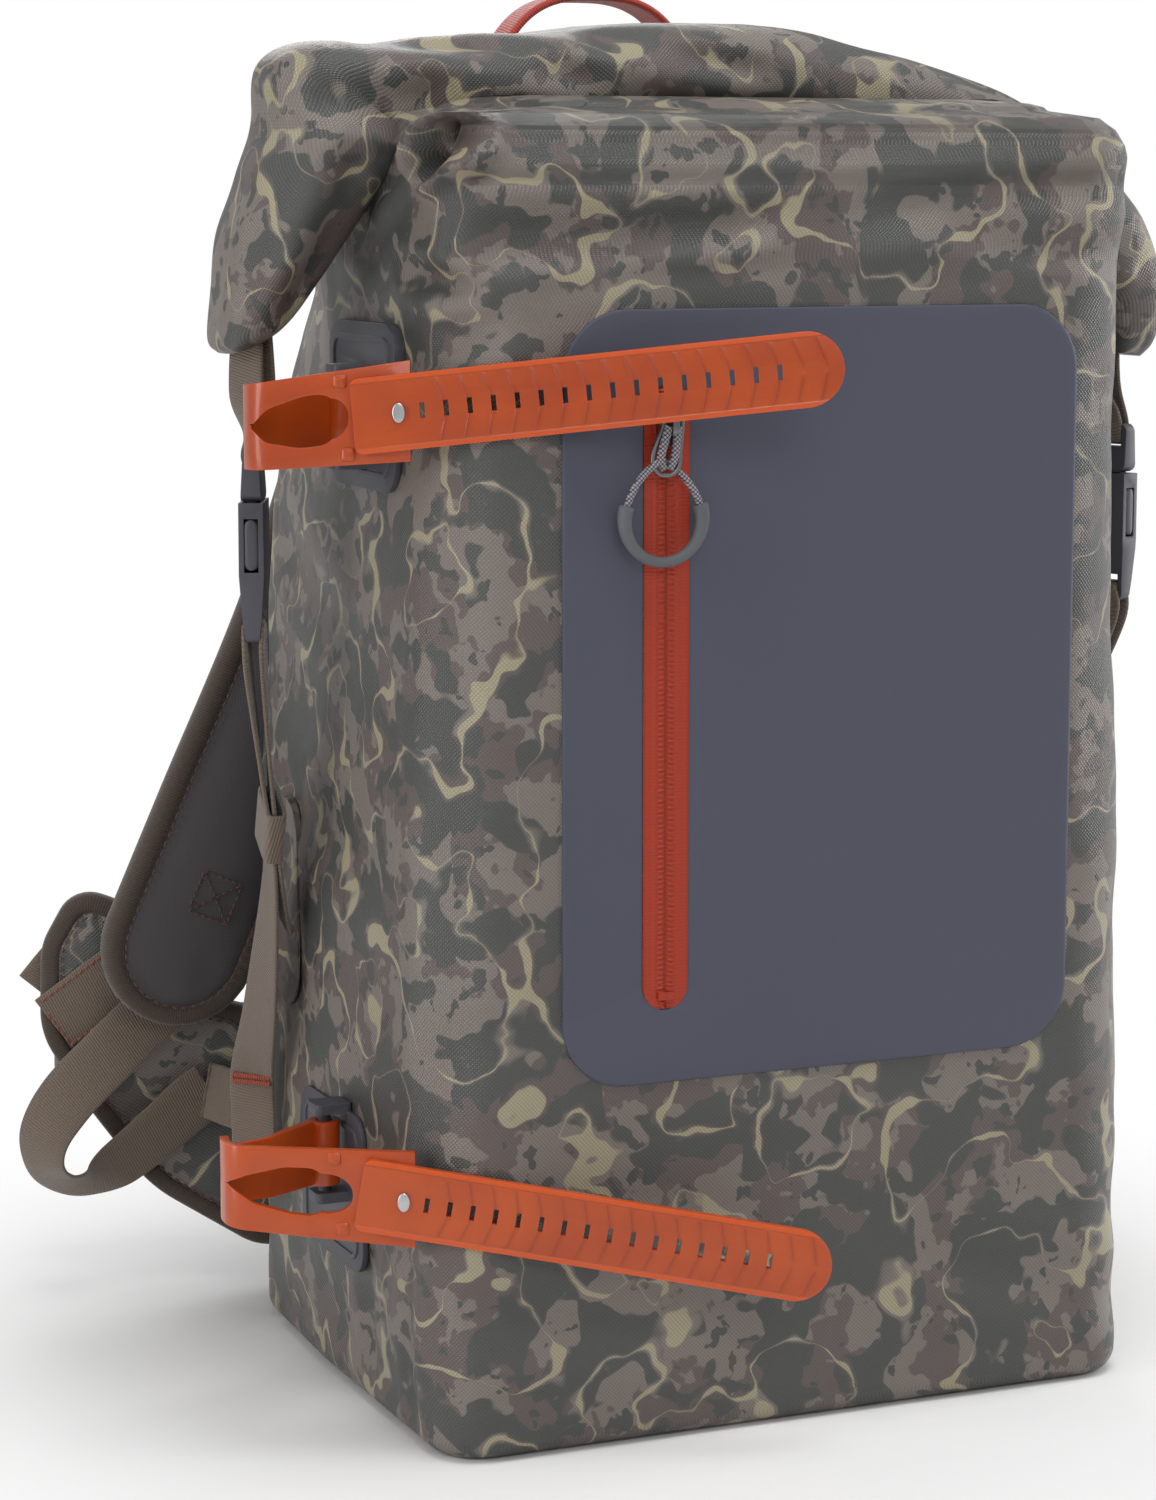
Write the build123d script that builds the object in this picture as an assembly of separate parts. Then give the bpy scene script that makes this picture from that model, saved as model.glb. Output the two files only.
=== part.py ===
from build123d import *
import os
from math import cos, pi, radians, sin, tan

# Roll-top tackle backpack. Millimetres, +Z up, +Y towards the wearer, so the zipped pocket faces -Y.
# The origin is the centre of the base, on the ground.
os.makedirs("parts", exist_ok=True)

# ---- driving dimensions ----
SKIN = 2.2                 # wall of the welded coated fabric with its backing
BASE_HEIGHT = 14.0         # welded base tray
BASE_EDGE = 9.0            # rounding of the base edge
FRONT_Y = -119.0           # plane of the front panel
BACK_Y = 110.0             # plane of the back panel
SIDE_Y = 30.0              # where the bulging side is widest
ROLL_Y = -20.0             # middle of the rolled mouth, front to back
ROLL_WIDTH = 64.0
ROLL_THICK = 34.0
ROLL_CHAMFER = 10.0
ROLL_CENTRE_Z = 513.0
EAR_X, EAR_TIP_Z = 178.0, 399.0
EAR_SLANT = radians(30)

POCKET_X = (-100.0, 112.0)
POCKET_Z = (139.0, 425.0)
POCKET_CORNER = 25.0
POCKET_THICK = 1.6
ZIP_X = -59.0
ZIP_WIDTH = 18.5
ZIP_Z = (167.0, 397.0)
SLIDER_Z = 384.0

ZIP_TAPE_THICK = 0.9
COIL_PITCH = 3.4
SLIDER_THICK = 3.2
PULLER_Z, PULLER_PROUD, PULLER_THICK = 383.0, 6.0, 1.2
GRIP_Z, GRIP_PROUD, GRIP_START = 347.0, 8.8, 160.0
GRIP_RING, GRIP_RADIUS = 15.4, 2.6
CORD_RADIUS = 1.3

PLATE_SIZE = (72.0, 62.0)  # lash plate, along the side and up
PLATE_THICK = 2.4
PLATE_SEAT = 4.0           # how far the plate reaches back, to meet the bag's curved side
PLATE_HIGH_X, PLATE_LOW_X = 144.5, 151.5
PLATE_HIGH_Y, PLATE_LOW_Y = -37.0, -14.0
PLATE_HIGH_Z, PLATE_LOW_Z = 388.0, 86.0
BAR_HIGH, BAR_LOW = (-37.0, 384.0), (-28.0, 101.0)     # each lash bar, front to back and up
BAR_RADIUS = 2.6
BAR_STANDOFF = 10.0
BAR_LENGTH = 30.0

GEAR_WIDTH = 27.0          # moulded gear strap
LOOP_WIDTH, ARM_WIDTH = 36.0, 25.0
GEAR_THICK = 3.2
GEAR_HOOK = -104.0          # where the hook sits along the strap's own line
GEAR_REACH, GEAR_SHOULDER = 159.0, 16.5
GEAR_FACE = {"upper": 152.8, "lower": 156.6}
GEAR_Z = {"upper": (384.0, 5.0), "lower": (101.0, -9.5)}
HOOK_RADIUS = 2.2
EYE_INNER, EYE_OUTER = 3.2, 6.0
GEAR_PITCH = 8.5
GEAR_SLOTS = 16
GEAR_FACE_TURN = 22.8      # the tail lies across the front left corner, turned this far from the front

WEB_THICK = 1.8
SIDE_WEB = 20.0
CLIP_X, CLIP_Y = 184.0, -20.0
CLIP_TURN = 22.8
CLIP_SPLIT, CLIP_END = 338.0, 280.0
CLIP_THICK = 11.5
TAB_HALF = 3.1              # half the distance between the two layers of folded webbing
KEEPER_LENGTH = 22.0
SIDE_ANCHOR = Vector(-158.0, 76.0, 66.0)
SIDE_MIDDLE = Vector(-167.0, 15.0, 208.0)

PAD_THICK = 12.0
STRAP_Y = 127.0            # middle plane of the shoulder straps
STRAP_WIDE = 66.0
BINDING = 5.0
LOWER_WEB = 25.0
LOWER_WEB_Y = 136.4
HANDLE_Y, HANDLE_PIVOT, HANDLE_TOP = 94.0, 477.0, 547.0
HANDLE_HALF, HANDLE_WIDE, HANDLE_THICK = 48.0, 22.0, 3.2

LUMBAR_THICK = 16.0
WING_ROOT = Vector(-104.0, 132.2, 0.0)
WING_TURN = 16.0           # the hip wings reach back by this angle
WING_THICK = 10.0
BELT_WEB = 38.0
BELT_Z = 97.0
BELT_END = 30.0

count = 0


def save(name, shape):
    """Writes one sub-part under its node's name."""
    global count
    shape.label = name
    export_step(shape, f"parts/{name}.step")
    count += 1


def mirrored(shape):
    return mirror(shape, about=Plane.YZ)


def save_pair(name, left):
    save(name + "_left", left)
    save(name + "_right", mirrored(left))


def slab(origin, x_dir, normal, size):
    """A box centred on origin, with size along x_dir, across it and along the normal."""
    return Plane(origin=origin, x_dir=x_dir, z_dir=normal) * Box(*size)


def rounded_plate(width, height, thick, corner, edge=0.0):
    """A rounded rectangle in XY, from z = 0 upwards, with its upper edge eased."""
    plate = extrude(RectangleRounded(width, height, corner), thick)
    if edge:
        plate = chamfer(plate.edges().group_by(Axis.Z)[-1], edge)
    return plate


# ---- bag ----
# Each station: height, half widths at the front, at the widest part of the side and at the back,
# front and back planes, and the corner radii at the front and the back.
BODY_STATIONS = [
    (BASE_HEIGHT, 147.0, 149.5, 146.0, FRONT_Y, BACK_Y, 22.0, 24.0),
    (90.0, 150.5, 153.5, 148.5, FRONT_Y, BACK_Y, 34.0, 30.0),
    (230.0, 147.5, 150.5, 146.0, FRONT_Y, BACK_Y, 38.0, 32.0),
    (342.0, 144.5, 147.0, 143.0, FRONT_Y, BACK_Y, 38.0, 34.0),
    (395.0, 142.0, 143.5, 129.0, FRONT_Y, BACK_Y, 36.0, 36.0),
]
MOUTH_STATIONS = [
    BODY_STATIONS[-1],
    (430.0, 140.5, 145.0, 117.0, FRONT_Y, 104.0, 32.0, 34.0),
    (468.0, 138.0, 152.0, 109.0, FRONT_Y + 1.0, 80.0, 26.0, 30.0),
    (490.0, 133.0, 157.0, 106.0, FRONT_Y + 8.0, 46.0, 20.0, 24.0),
    (499.0, 126.0, 152.0, 104.0, FRONT_Y + 24.0, 26.0, 18.0, 18.0),
]


def bag_outline(station, inset=0.0):
    """The bag's level outline: six sides with rounded corners, drawn in by the inset."""
    z, front, side, back, y_front, y_back, r_front, r_back = station
    front, side, back = front - inset, side - inset, back - inset
    y_front, y_back = y_front + inset, y_back - inset
    y_side = min(SIDE_Y, (y_front + y_back) / 2 + 20)
    corners = [(-front, y_front), (front, y_front), (side, y_side),
               (back, y_back), (-back, y_back), (-side, y_side)]
    outline = make_face(Polyline(*corners, close=True))
    by_y = outline.vertices().sort_by(Axis.Y)
    outline = fillet(by_y[:2], r_front - inset)
    outline = fillet([v for v in outline.vertices() if abs(v.Y - y_back) < 0.01], r_back - inset)
    outline = fillet([v for v in outline.vertices() if abs(abs(v.X) - side) < 0.01], 60.0)
    return Plane.XY.offset(z) * outline


def body_core(inset=0.0):
    """The bag's solid form from the base tray to the mouth, drawn in by the inset."""
    lower = loft([bag_outline(station, inset) for station in BODY_STATIONS])
    upper = loft([bag_outline(station, inset) for station in MOUTH_STATIONS], ruled=True)
    return lower + upper


def base_tray():
    floor = extrude(Plane.XY * bag_outline((0.0,) + BODY_STATIONS[0][1:]), BASE_HEIGHT)
    floor = fillet(floor.edges().group_by(Axis.Z)[0], BASE_EDGE)
    inner = extrude(Plane.XY.offset(SKIN) * bag_outline((0.0,) + BODY_STATIONS[0][1:], SKIN), BASE_HEIGHT)
    inner = chamfer(inner.edges().group_by(Axis.Z)[0], 0.6 * BASE_EDGE)
    return floor - inner


def roll_line():
    """The rolled mouth: arched over the top, its left end bent down sharply, its right end sloping."""
    points = [(-EAR_X - 4, EAR_TIP_Z), (-EAR_X + 8, 440), (-EAR_X + 17, 499), (-88, 507), (-10, ROLL_CENTRE_Z),
              (75, 502), (134, 484), (EAR_X + 6, 440), (EAR_X + 10, EAR_TIP_Z)]
    radii = [150, 18, 250, 250, 250, 60, 40]
    return FilletPolyline(*points, radius=radii)


ROLL_PLANE = Plane(origin=(0, ROLL_Y, 0), x_dir=(1, 0, 0), z_dir=(0, -1, 0))


def mouth_slot():
    """The room that the roll takes out of the bag's top."""
    return ROLL_PLANE * extrude(trace(roll_line(), ROLL_THICK), ROLL_WIDTH / 2, both=True)


def rolled_mouth():
    path = ROLL_PLANE * roll_line()
    start = Plane(origin=path @ 0, x_dir=(0, 1, 0), z_dir=path % 0)
    flat_roll = chamfer(Rectangle(ROLL_WIDTH, ROLL_THICK).vertices(), ROLL_CHAMFER)
    roll = sweep(start * flat_roll, path=path)
    for side in (-1, 1):     # the ends are cut slanting, lower towards the bag
        end = Vector(side * (EAR_X + 22), ROLL_Y, EAR_TIP_Z + 19)
        cut = Plane(origin=end, x_dir=(0, 1, 0), z_dir=(side * sin(EAR_SLANT), 0, -cos(EAR_SLANT)))
        roll -= cut * Pos(0, 0, 40) * Box(100, 100, 80)
    return roll


def mouth_stiffener():
    """The strip that stiffens the edge of the mouth, in the middle of the roll."""
    return Pos(-10, ROLL_Y, ROLL_CENTRE_Z - 4) * Box(130, 24, 1.6)


# ---- front pocket ----
def front(x, z, proud=0.0):
    """A plane on the front panel at (x, z), facing forwards, with its own X along the row's X."""
    return Plane(origin=(x, FRONT_Y - proud, z), x_dir=(1, 0, 0), z_dir=(0, -1, 0))


def pocket_panel():
    """The welded panel with the slit that the zip shows through, round at its lower end."""
    wide, tall = POCKET_X[1] - POCKET_X[0], POCKET_Z[1] - POCKET_Z[0]
    centre = front(sum(POCKET_X) / 2, sum(POCKET_Z) / 2)
    panel = centre * rounded_plate(wide, tall, POCKET_THICK, POCKET_CORNER, 0.6)
    return panel - front(ZIP_X, sum(ZIP_Z) / 2) * extrude(zip_window(), 2 * POCKET_THICK)


def zip_window():
    tall = ZIP_Z[1] - ZIP_Z[0]
    return RectangleRounded(ZIP_WIDTH, tall, ZIP_WIDTH / 2 - 0.1)


def zip_tape(side):
    """One half of the coated tape, with its raised rib beside the coil."""
    middle = front(ZIP_X, sum(ZIP_Z) / 2)
    half = Pos(side * ZIP_WIDTH / 2, 0, 0) * Box(ZIP_WIDTH - 0.2, 400, 10)
    tape = extrude(zip_window(), ZIP_TAPE_THICK) & half
    rib = Pos(side * 4.6, 0, ZIP_TAPE_THICK + 0.2) * Box(1.6, ZIP_Z[1] - ZIP_Z[0] - 16, 0.4)
    return middle * (tape + rib)


def zip_coil():
    """The closed coil: a row of small bars across the middle of the tape, on a flat core."""
    low, high = ZIP_Z[0] + 7, ZIP_Z[1] - 7
    core = front(ZIP_X, (low + high) / 2, ZIP_TAPE_THICK) * Pos(0, 0, 0.2) * Box(4.4, high - low, 0.4)
    bars = int((high - low) / COIL_PITCH)
    step = front(ZIP_X, low, ZIP_TAPE_THICK + 0.4)
    teeth = [step * Pos(0, (i + 0.5) * COIL_PITCH, 0.2) * Box(3.6, COIL_PITCH * 0.5, 0.4) for i in range(bars)]
    return core + teeth


def zip_stop(z):
    return front(ZIP_X, z, ZIP_TAPE_THICK) * Pos(0, 0, 0.6) * Box(6.4, 3.0, 1.2)


def zip_slider():
    """The slider's upper plate, narrowed to its tail, with the bridge that holds the puller."""
    plate = make_face(Polyline((-4.6, 7), (4.6, 7), (5.0, 1), (3.4, -8), (-3.4, -8), (-5.0, 1), close=True))
    plate = fillet(plate.vertices(), 1.2)
    body = extrude(plate, SLIDER_THICK)
    bridge = Plane.YZ * (Pos(0.5, SLIDER_THICK) * (RectangleRounded(11, 8.4, 3.4) - RectangleRounded(7.4, 4.8, 1.7)))
    bridge = extrude(bridge, 1.3, both=True) & Pos(0, 0, SLIDER_THICK + 4) * Box(20, 20, 9)
    return front(ZIP_X, SLIDER_Z, ZIP_TAPE_THICK + 1.3) * (body + bridge)


def zip_puller():
    """A flat metal shackle, hung on the slider's bridge."""
    shackle = Pos(0, -8.5) * (RectangleRounded(13.5, 24, 6.2) - Pos(0, 0.8) * RectangleRounded(8.9, 19.4, 4.2))
    return front(ZIP_X, PULLER_Z, PULLER_PROUD) * extrude(shackle, PULLER_THICK)


def pull_grip():
    """The moulded sleeve round the lower two thirds of the pull's ring."""
    ring = CenterArc((0, 0), GRIP_RING, GRIP_START, 540 - 2 * GRIP_START)
    start = Plane(origin=ring @ 0, x_dir=(0, 0, 1), z_dir=ring % 0)
    return front(ZIP_X, GRIP_Z, GRIP_PROUD) * sweep(start * Circle(GRIP_RADIUS), path=ring)


def pull_cord_points():
    """The cord's route: up from the grip's left end, over the shackle's foot, and down behind it."""
    turn = radians(GRIP_START)
    side, level = -GRIP_RING * cos(turn), GRIP_RING * sin(turn)
    y = FRONT_Y - GRIP_PROUD
    left = [(-side, y, level), (2.0 - side, y, level + 5.0), (-8.3, y, 16.4), (-2.2, y, 21.0)]
    right = [(2.2, y + 4.3, 21.0), (8.6, y + 4.3, 16.4), (side - 2.0, y, level + 5.0), (side, y, level)]
    return [Vector(ZIP_X + px, py, GRIP_Z + pz) for px, py, pz in left + right]


def corner_radii(points):
    """The largest arc at each inner point that its two runs leave room for."""
    radii = []
    for before, here, after in zip(points, points[1:], points[2:]):
        first, second = here - before, after - here
        half_turn = radians(first.get_angle(second) / 2)
        radii.append(0.45 * min(first.length, second.length) / tan(half_turn))
    return radii


def pull_cord():
    """One braided cord, from one end of the grip through the shackle to the other."""
    points = pull_cord_points()
    radii = corner_radii(points)
    print("pull cord radii:", [round(radius, 1) for radius in radii])
    path = FilletPolyline(*points, radius=radii)
    cord = sweep(Plane(origin=path @ 0, z_dir=path % 0) * Circle(CORD_RADIUS), path=path)
    print("pull cord volume over section times length:", round(cord.volume / (pi * CORD_RADIUS ** 2 * path.length), 3))
    return cord


# ---- lash plates and gear straps ----
def lash_plate(y, z, bar_at):
    """A moulded plate on the bag's left side, with a raised bridge that holds an upright bar."""
    wide, tall = PLATE_SIZE
    at = Plane(origin=(-side_x(z), y, z), x_dir=(0, 1, 0), z_dir=(-1, 0, 0))
    plate = Pos(0, 0, -PLATE_SEAT) * rounded_plate(wide, tall, PLATE_THICK + PLATE_SEAT, 11)
    rim = Pos(0, 0, PLATE_THICK) * extrude(RectangleRounded(wide - 10, tall - 10, 7)
                                           - RectangleRounded(wide - 14, tall - 14, 5), 0.8)
    cheek = RectangleRounded(12, BAR_STANDOFF + 2 * BAR_RADIUS, BAR_RADIUS)
    cheeks = [Plane(origin=(0, side * (BAR_LENGTH / 2 + 2.5), PLATE_THICK + 5), x_dir=(1, 0, 0), z_dir=(0, 1, 0))
              * extrude(cheek, 2, both=True) for side in (-1, 1)]
    bar = Pos(0, 0, BAR_STANDOFF) * Rot(X=90) * Cylinder(BAR_RADIUS, BAR_LENGTH + 2)
    bridge = Pos(bar_at[0] - y, z - bar_at[1]) * (bar + cheeks)
    return at * (plate + rim + bridge)


def side_x(z):
    """Half width of the bag at its side, at the lash plates."""
    return PLATE_HIGH_X if z > 200 else PLATE_LOW_X


TURN = radians(GEAR_FACE_TURN)
ALONG = Vector(cos(TURN), -sin(TURN), 0)        # towards the tail's tip
OUTWARD = Vector(-sin(TURN), -cos(TURN), 0)     # away from the bag


def gear_plane(z, origin=(0, 0)):
    """A level plane whose own X runs along the gear strap and whose own Y runs away from the bag."""
    place = ALONG * origin[0] + OUTWARD * origin[1] + Vector(0, 0, z)
    return Plane(origin=place, x_dir=ALONG, z_dir=(0, 0, -1))


def gear_loop(bar, face, z):
    """The buckle: a wide front with a teardrop window, turned back on itself, and an arm to an eye on the bar."""
    hook, far = GEAR_HOOK, GEAR_HOOK - 56
    eye = gear_plane(z, bar)
    start = gear_plane(z)
    back = (bar[0] - 5.0, bar[1] + 1.5)
    line = FilletPolyline(back, (far + 7, face - 34), (far - 1, face - 14), (far + 5, face), (hook + 4, face),
                          radius=[30, 22, 8])
    band = trace(line, GEAR_THICK)
    front_side = Pos(0, face + 40 - 14) * Box(800, 80, 80)
    wide = start * (extrude(band, LOOP_WIDTH / 2, both=True) & front_side)
    narrow = start * (extrude(band, ARM_WIDTH / 2, both=True) - front_side)
    window = make_face(Polyline((-40, 1), (-14, 8), (-4, 8), (-4, -8), (-12, -8), close=True))
    window = fillet(window.vertices().sort_by(Axis.X)[-2:], 7.5)
    ahead = Plane(origin=ALONG * (hook - 14) + OUTWARD * face + Vector(0, 0, z), x_dir=ALONG, z_dir=OUTWARD)
    wide -= ahead * Pos(0, 0, -10) * extrude(window, 40)
    pips = [ahead * Pos(2, side * 13) * Cylinder(1.6, GEAR_THICK + 0.6) for side in (-1, 1)]
    arm = wide + narrow + pips - eye * Cylinder(EYE_INNER, 2 * GEAR_WIDTH)
    return arm + eye * extrude(Circle(EYE_OUTER) - Circle(EYE_INNER), ARM_WIDTH / 2, both=True)


def gear_tail_plane(face, z, slope):
    place = ALONG * GEAR_HOOK + OUTWARD * (face + GEAR_THICK + 0.3) + Vector(0, 0, z)
    rise = radians(slope)
    return Plane(origin=place, x_dir=ALONG * cos(rise) + Vector(0, 0, sin(rise)), z_dir=OUTWARD)


def gear_tail(face, z, slope):
    """The slotted tail: square shoulders at the buckle, a round tip and a row of slots."""
    length = GEAR_REACH + GEAR_SHOULDER - GEAR_WIDTH / 2
    body = Pos(length / 2 - GEAR_SHOULDER, 0) * Rectangle(length, GEAR_WIDTH)
    body = fillet(body.vertices().group_by(Axis.X)[0], 3)
    body += Pos(GEAR_REACH - GEAR_WIDTH / 2, 0) * Circle(GEAR_WIDTH / 2)
    slots = [Pos((i + 1) * GEAR_PITCH, 0) * Rectangle(1.8, 5.6) for i in range(GEAR_SLOTS)]
    tail = extrude(body - slots - Circle(HOOK_RADIUS + 0.05), GEAR_THICK / 2, both=True)
    return gear_tail_plane(face, z, slope) * tail


def gear_hook(face, z, slope):
    """The metal stud that the slots catch on, with a flat head."""
    stud = Cylinder(HOOK_RADIUS, GEAR_THICK) + Pos(0, 0, GEAR_THICK / 2 + 0.6) * Cylinder(HOOK_RADIUS + 1.4, 1.2)
    return gear_tail_plane(face, z, slope) * stud


# ---- side closures (left hand; the right is its mirror) ----
CLIP_NORMAL = Vector(-cos(radians(CLIP_TURN)), sin(radians(CLIP_TURN)), 0)
CLIP_ACROSS = Vector(sin(radians(CLIP_TURN)), cos(radians(CLIP_TURN)), 0)


def clip_plane(z):
    """Local X across the clip, local Y up, local Z away from the bag."""
    return Plane(origin=(-CLIP_X, CLIP_Y, z), x_dir=CLIP_ACROSS * -1, z_dir=CLIP_NORMAL)


def clip_male():
    """The plug: a webbing bar, a shoulder, a guide and two sprung arms with barbs."""
    base = extrude(RectangleRounded(26, 22, 4), CLIP_THICK / 2 - 1, both=True)
    base = Pos(0, 11.2) * base
    base -= Pos(0, 15) * Box(SIDE_WEB + 1, 6.4, 20)
    base -= Pos(0, 20, 8 + 2) * Box(SIDE_WEB + 1, 7, 16)
    base -= Pos(0, 20, -8 - 2) * Box(SIDE_WEB + 1, 7, 16)
    guide = Pos(0, -12) * Box(3.6, 26, 4)
    half_arm = make_face(Polyline((7.4, 3), (9.6, 3), (9.8, -8), (11.0, -10), (11.0, -14), (8.6, -27),
                                  (6.8, -27), (8.0, -14), close=True))
    arm = extrude(half_arm, 2.4, both=True)
    return clip_plane(CLIP_SPLIT) * (base + guide + arm + mirror(arm, about=Plane.YZ))


def clip_female():
    """The socket: open at the top, with a window on each edge and a webbing bar at its tail."""
    tall = CLIP_SPLIT - CLIP_END
    outline = make_face(Polyline((-13.5, 0), (13.5, 0), (13.5, -34), (12, tall * -1), (-12, -tall), (-13.5, -34),
                                 close=True))
    outline = fillet(outline.vertices().group_by(Axis.Y)[0], 4)
    shell = extrude(outline, CLIP_THICK / 2, both=True)
    shell -= Pos(0, -15.5) * Box(22.8, 35, 6.6)
    shell -= Pos(0, -17.5) * Box(40, 22, 6.6)
    tail_slot = Pos(0, -tall + 9) * Box(SIDE_WEB + 1, 7, 20)
    thin = [Pos(0, -tall + 2.5, side * (8 + 2)) * Box(SIDE_WEB + 1, 8, 16) for side in (-1, 1)]
    grips = [Pos(0, -41 - i * 2.4, CLIP_THICK / 2) * Box(16, 0.9, 0.8) for i in range(2)]
    return clip_plane(CLIP_SPLIT - 0.3) * (shell - tail_slot - thin - grips)


def webbing_tab():
    """The webbing sewn into the roll's end, folded round the plug's bar."""
    low, high = CLIP_SPLIT + 14.6, EAR_TIP_Z + 6
    fold = FilletPolyline((-TAB_HALF, high), (-TAB_HALF, low), (TAB_HALF, low), (TAB_HALF, high), radius=1.6)
    side_on = Plane(origin=(-CLIP_X, CLIP_Y, 0), x_dir=CLIP_NORMAL, z_dir=CLIP_ACROSS)
    return side_on * extrude(trace(fold, WEB_THICK), SIDE_WEB / 2, both=True)


def side_webbing():
    """The webbing folded round the socket's tail bar, and its two layers down to the lower anchor."""
    bar_z = CLIP_END + 2
    high, low = bar_z + 4.6, CLIP_END - 8
    fold = FilletPolyline((-TAB_HALF, low), (-TAB_HALF, high), (TAB_HALF, high), (TAB_HALF, low), radius=1.6)
    side_on = Plane(origin=(-CLIP_X, CLIP_Y, 0), x_dir=CLIP_NORMAL, z_dir=CLIP_ACROSS)
    loop = side_on * extrude(trace(fold, WEB_THICK), SIDE_WEB / 2, both=True)
    top = Vector(-CLIP_X, CLIP_Y, low + 1)
    thick = 2 * TAB_HALF + WEB_THICK
    return loop + side_run(top, SIDE_MIDDLE, thick, SIDE_WEB, 3) + side_run(SIDE_MIDDLE, SIDE_ANCHOR, thick / 2)


def side_run(top, bottom, thick, wide=SIDE_WEB, longer=0.0):
    """A straight stretch of webbing between two points, its flat face turned away from the bag."""
    down = (bottom - top).normalized()
    across = down.cross(CLIP_NORMAL).normalized()
    place = Plane(origin=(top + bottom) * 0.5, x_dir=across, z_dir=down)
    return place * Pos(0, 0, longer / 2) * Box(wide, thick, (bottom - top).length + longer)


def web_keeper():
    """The sleeve that gathers the two layers of the side webbing, just above its bend."""
    top = Vector(-CLIP_X, CLIP_Y, CLIP_END - 7)
    up = (top - SIDE_MIDDLE).normalized()
    low, high = SIDE_MIDDLE + up * 6, SIDE_MIDDLE + up * (6 + KEEPER_LENGTH)
    sleeve = side_run(high, low, 2 * TAB_HALF + WEB_THICK + 2.6, SIDE_WEB + 3)
    return sleeve - side_run(high, low, 2 * TAB_HALF + WEB_THICK, SIDE_WEB, 4) - side_run(low, high, 6, SIDE_WEB, 4)


def side_anchor():
    """The stitched patch on the bag's side that holds the lower end of the webbing."""
    x, y, z = SIDE_ANCHOR.X, SIDE_ANCHOR.Y, SIDE_ANCHOR.Z
    at = Plane(origin=(x + 4.4, y, z - 9), x_dir=(0, 1, 0), z_dir=(-1, 0, 0))
    return at * rounded_plate(34, 34, 4.2, 6, 1.0)


def side_patch():
    """The oval patch welded low on the bag's side."""
    at = Plane(origin=(-148.0, 44, 186), x_dir=(0, 1, 0), z_dir=(-1, 0, 0))
    return at * extrude(RectangleRounded(30, 84, 14.9), 4.4)


# ---- harness ----
def haul_handle():
    """The hand loop, standing over the yoke."""
    top = HANDLE_TOP - HANDLE_PIVOT
    arch = EllipticalCenterArc((0, 0), HANDLE_HALF, top, start_angle=0, arc_size=180)
    legs = [Line((side * HANDLE_HALF, 0), (side * HANDLE_HALF, -HANDLE_WIDE / 2)) for side in (-1, 1)]
    band = trace(arch, HANDLE_THICK) + [trace(leg, HANDLE_THICK) for leg in legs]
    handle = extrude(band, HANDLE_WIDE / 2, both=True)
    corners = Pos(0, -HANDLE_WIDE / 2, 0) * Box(200, HANDLE_WIDE, HANDLE_WIDE + 1)
    corners -= Rot(Y=90) * Cylinder(HANDLE_WIDE / 2, 220)
    return Plane(origin=(0, HANDLE_Y, HANDLE_PIVOT), x_dir=(1, 0, 0), z_dir=(0, -1, 0)) * (handle - corners)


def yoke():
    """The padded panel across the top of the back that carries the handle and both straps."""
    profile = make_face(Polyline((BACK_Y - 3, 398), (103.5, 430), (81, 464), (88, 465.6), (120.6, 465.6), (120.6, 398),
                                 close=True))
    panel = extrude(Plane.YZ * profile, 96, both=True)
    return fillet(panel.edges().filter_by(Axis.Z), 2)


def back_pad():
    at = Plane(origin=(-58, BACK_Y, 285), x_dir=(-1, 0, 0), z_dir=(0, 1, 0))
    return at * rounded_plate(74, 210, 9, 18, 5)


def lumbar_pad():
    at = Plane(origin=(0, BACK_Y, 78), x_dir=(-1, 0, 0), z_dir=(0, 1, 0))
    return at * rounded_plate(220, 104, LUMBAR_THICK, 16, 5)


def strap_outline(width):
    """The shoulder strap's outline, seen from the back, drawn as a band with round ends."""
    points = [(-66, 425), (-80, 378), (-110, 290), (-148, 206), (-172, 153)]
    line = FilletPolyline(*points, radius=[120, 260, 260])
    ends = [Pos(*point) * Circle(width / 2) for point in (points[0], points[-1])]
    return trace(line, width) + ends


STRAP_PLANE = Plane(origin=(0, STRAP_Y, 0), x_dir=(1, 0, 0), z_dir=(0, -1, 0))


def strap_pad():
    pad = extrude(strap_outline(STRAP_WIDE - 2 * BINDING), PAD_THICK / 2, both=True)
    return STRAP_PLANE * pad


def strap_binding():
    rim = strap_outline(STRAP_WIDE) - strap_outline(STRAP_WIDE - 2 * BINDING)
    return STRAP_PLANE * extrude(rim, PAD_THICK / 2 - 1.5, both=True)


def ladder_lock():
    """The buckle at the strap's lower end: a frame with two slots and a lifted lip."""
    at = Plane(origin=(-174, STRAP_Y + PAD_THICK / 2 + 0.2, 146), x_dir=(-1, 0, 0), z_dir=(0, 1, 0)) * Rot(Z=-28)
    frame = RectangleRounded(32, 30, 3)
    slots = [Pos(0, y) * RectangleRounded(26, 5, 1) for y in (-7.5, 0.5, 8.5)]
    body = extrude(frame - slots, 4)
    lip = Pos(0, -14, 4.5) * Rot(X=-20) * Box(30, 5, 2.4)
    return at * (body + lip)


def lower_webbing():
    """The adjuster webbing: out from the ladder lock, round, and back to the tab low on the bag."""
    line = FilletPolyline((-179.5, 122.2), (-232, 60), (-210, 34), (-160, 88), radius=14)
    at = Plane(origin=(0, LOWER_WEB_Y, 0), x_dir=(1, 0, 0), z_dir=(0, -1, 0))
    return at * extrude(trace(line, LOWER_WEB), WEB_THICK / 2, both=True)


def lower_tab():
    """The stitched tab that joins the adjuster webbing to the bag's lower back corner."""
    start, end = Vector(-143, 103, 84), Vector(-156.5, 133.6, 87)
    run = end - start
    return slab((start + end) * 0.5, run, run.cross(Vector(0, 0, 1)), (run.length, LOWER_WEB, 3.0))


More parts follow.
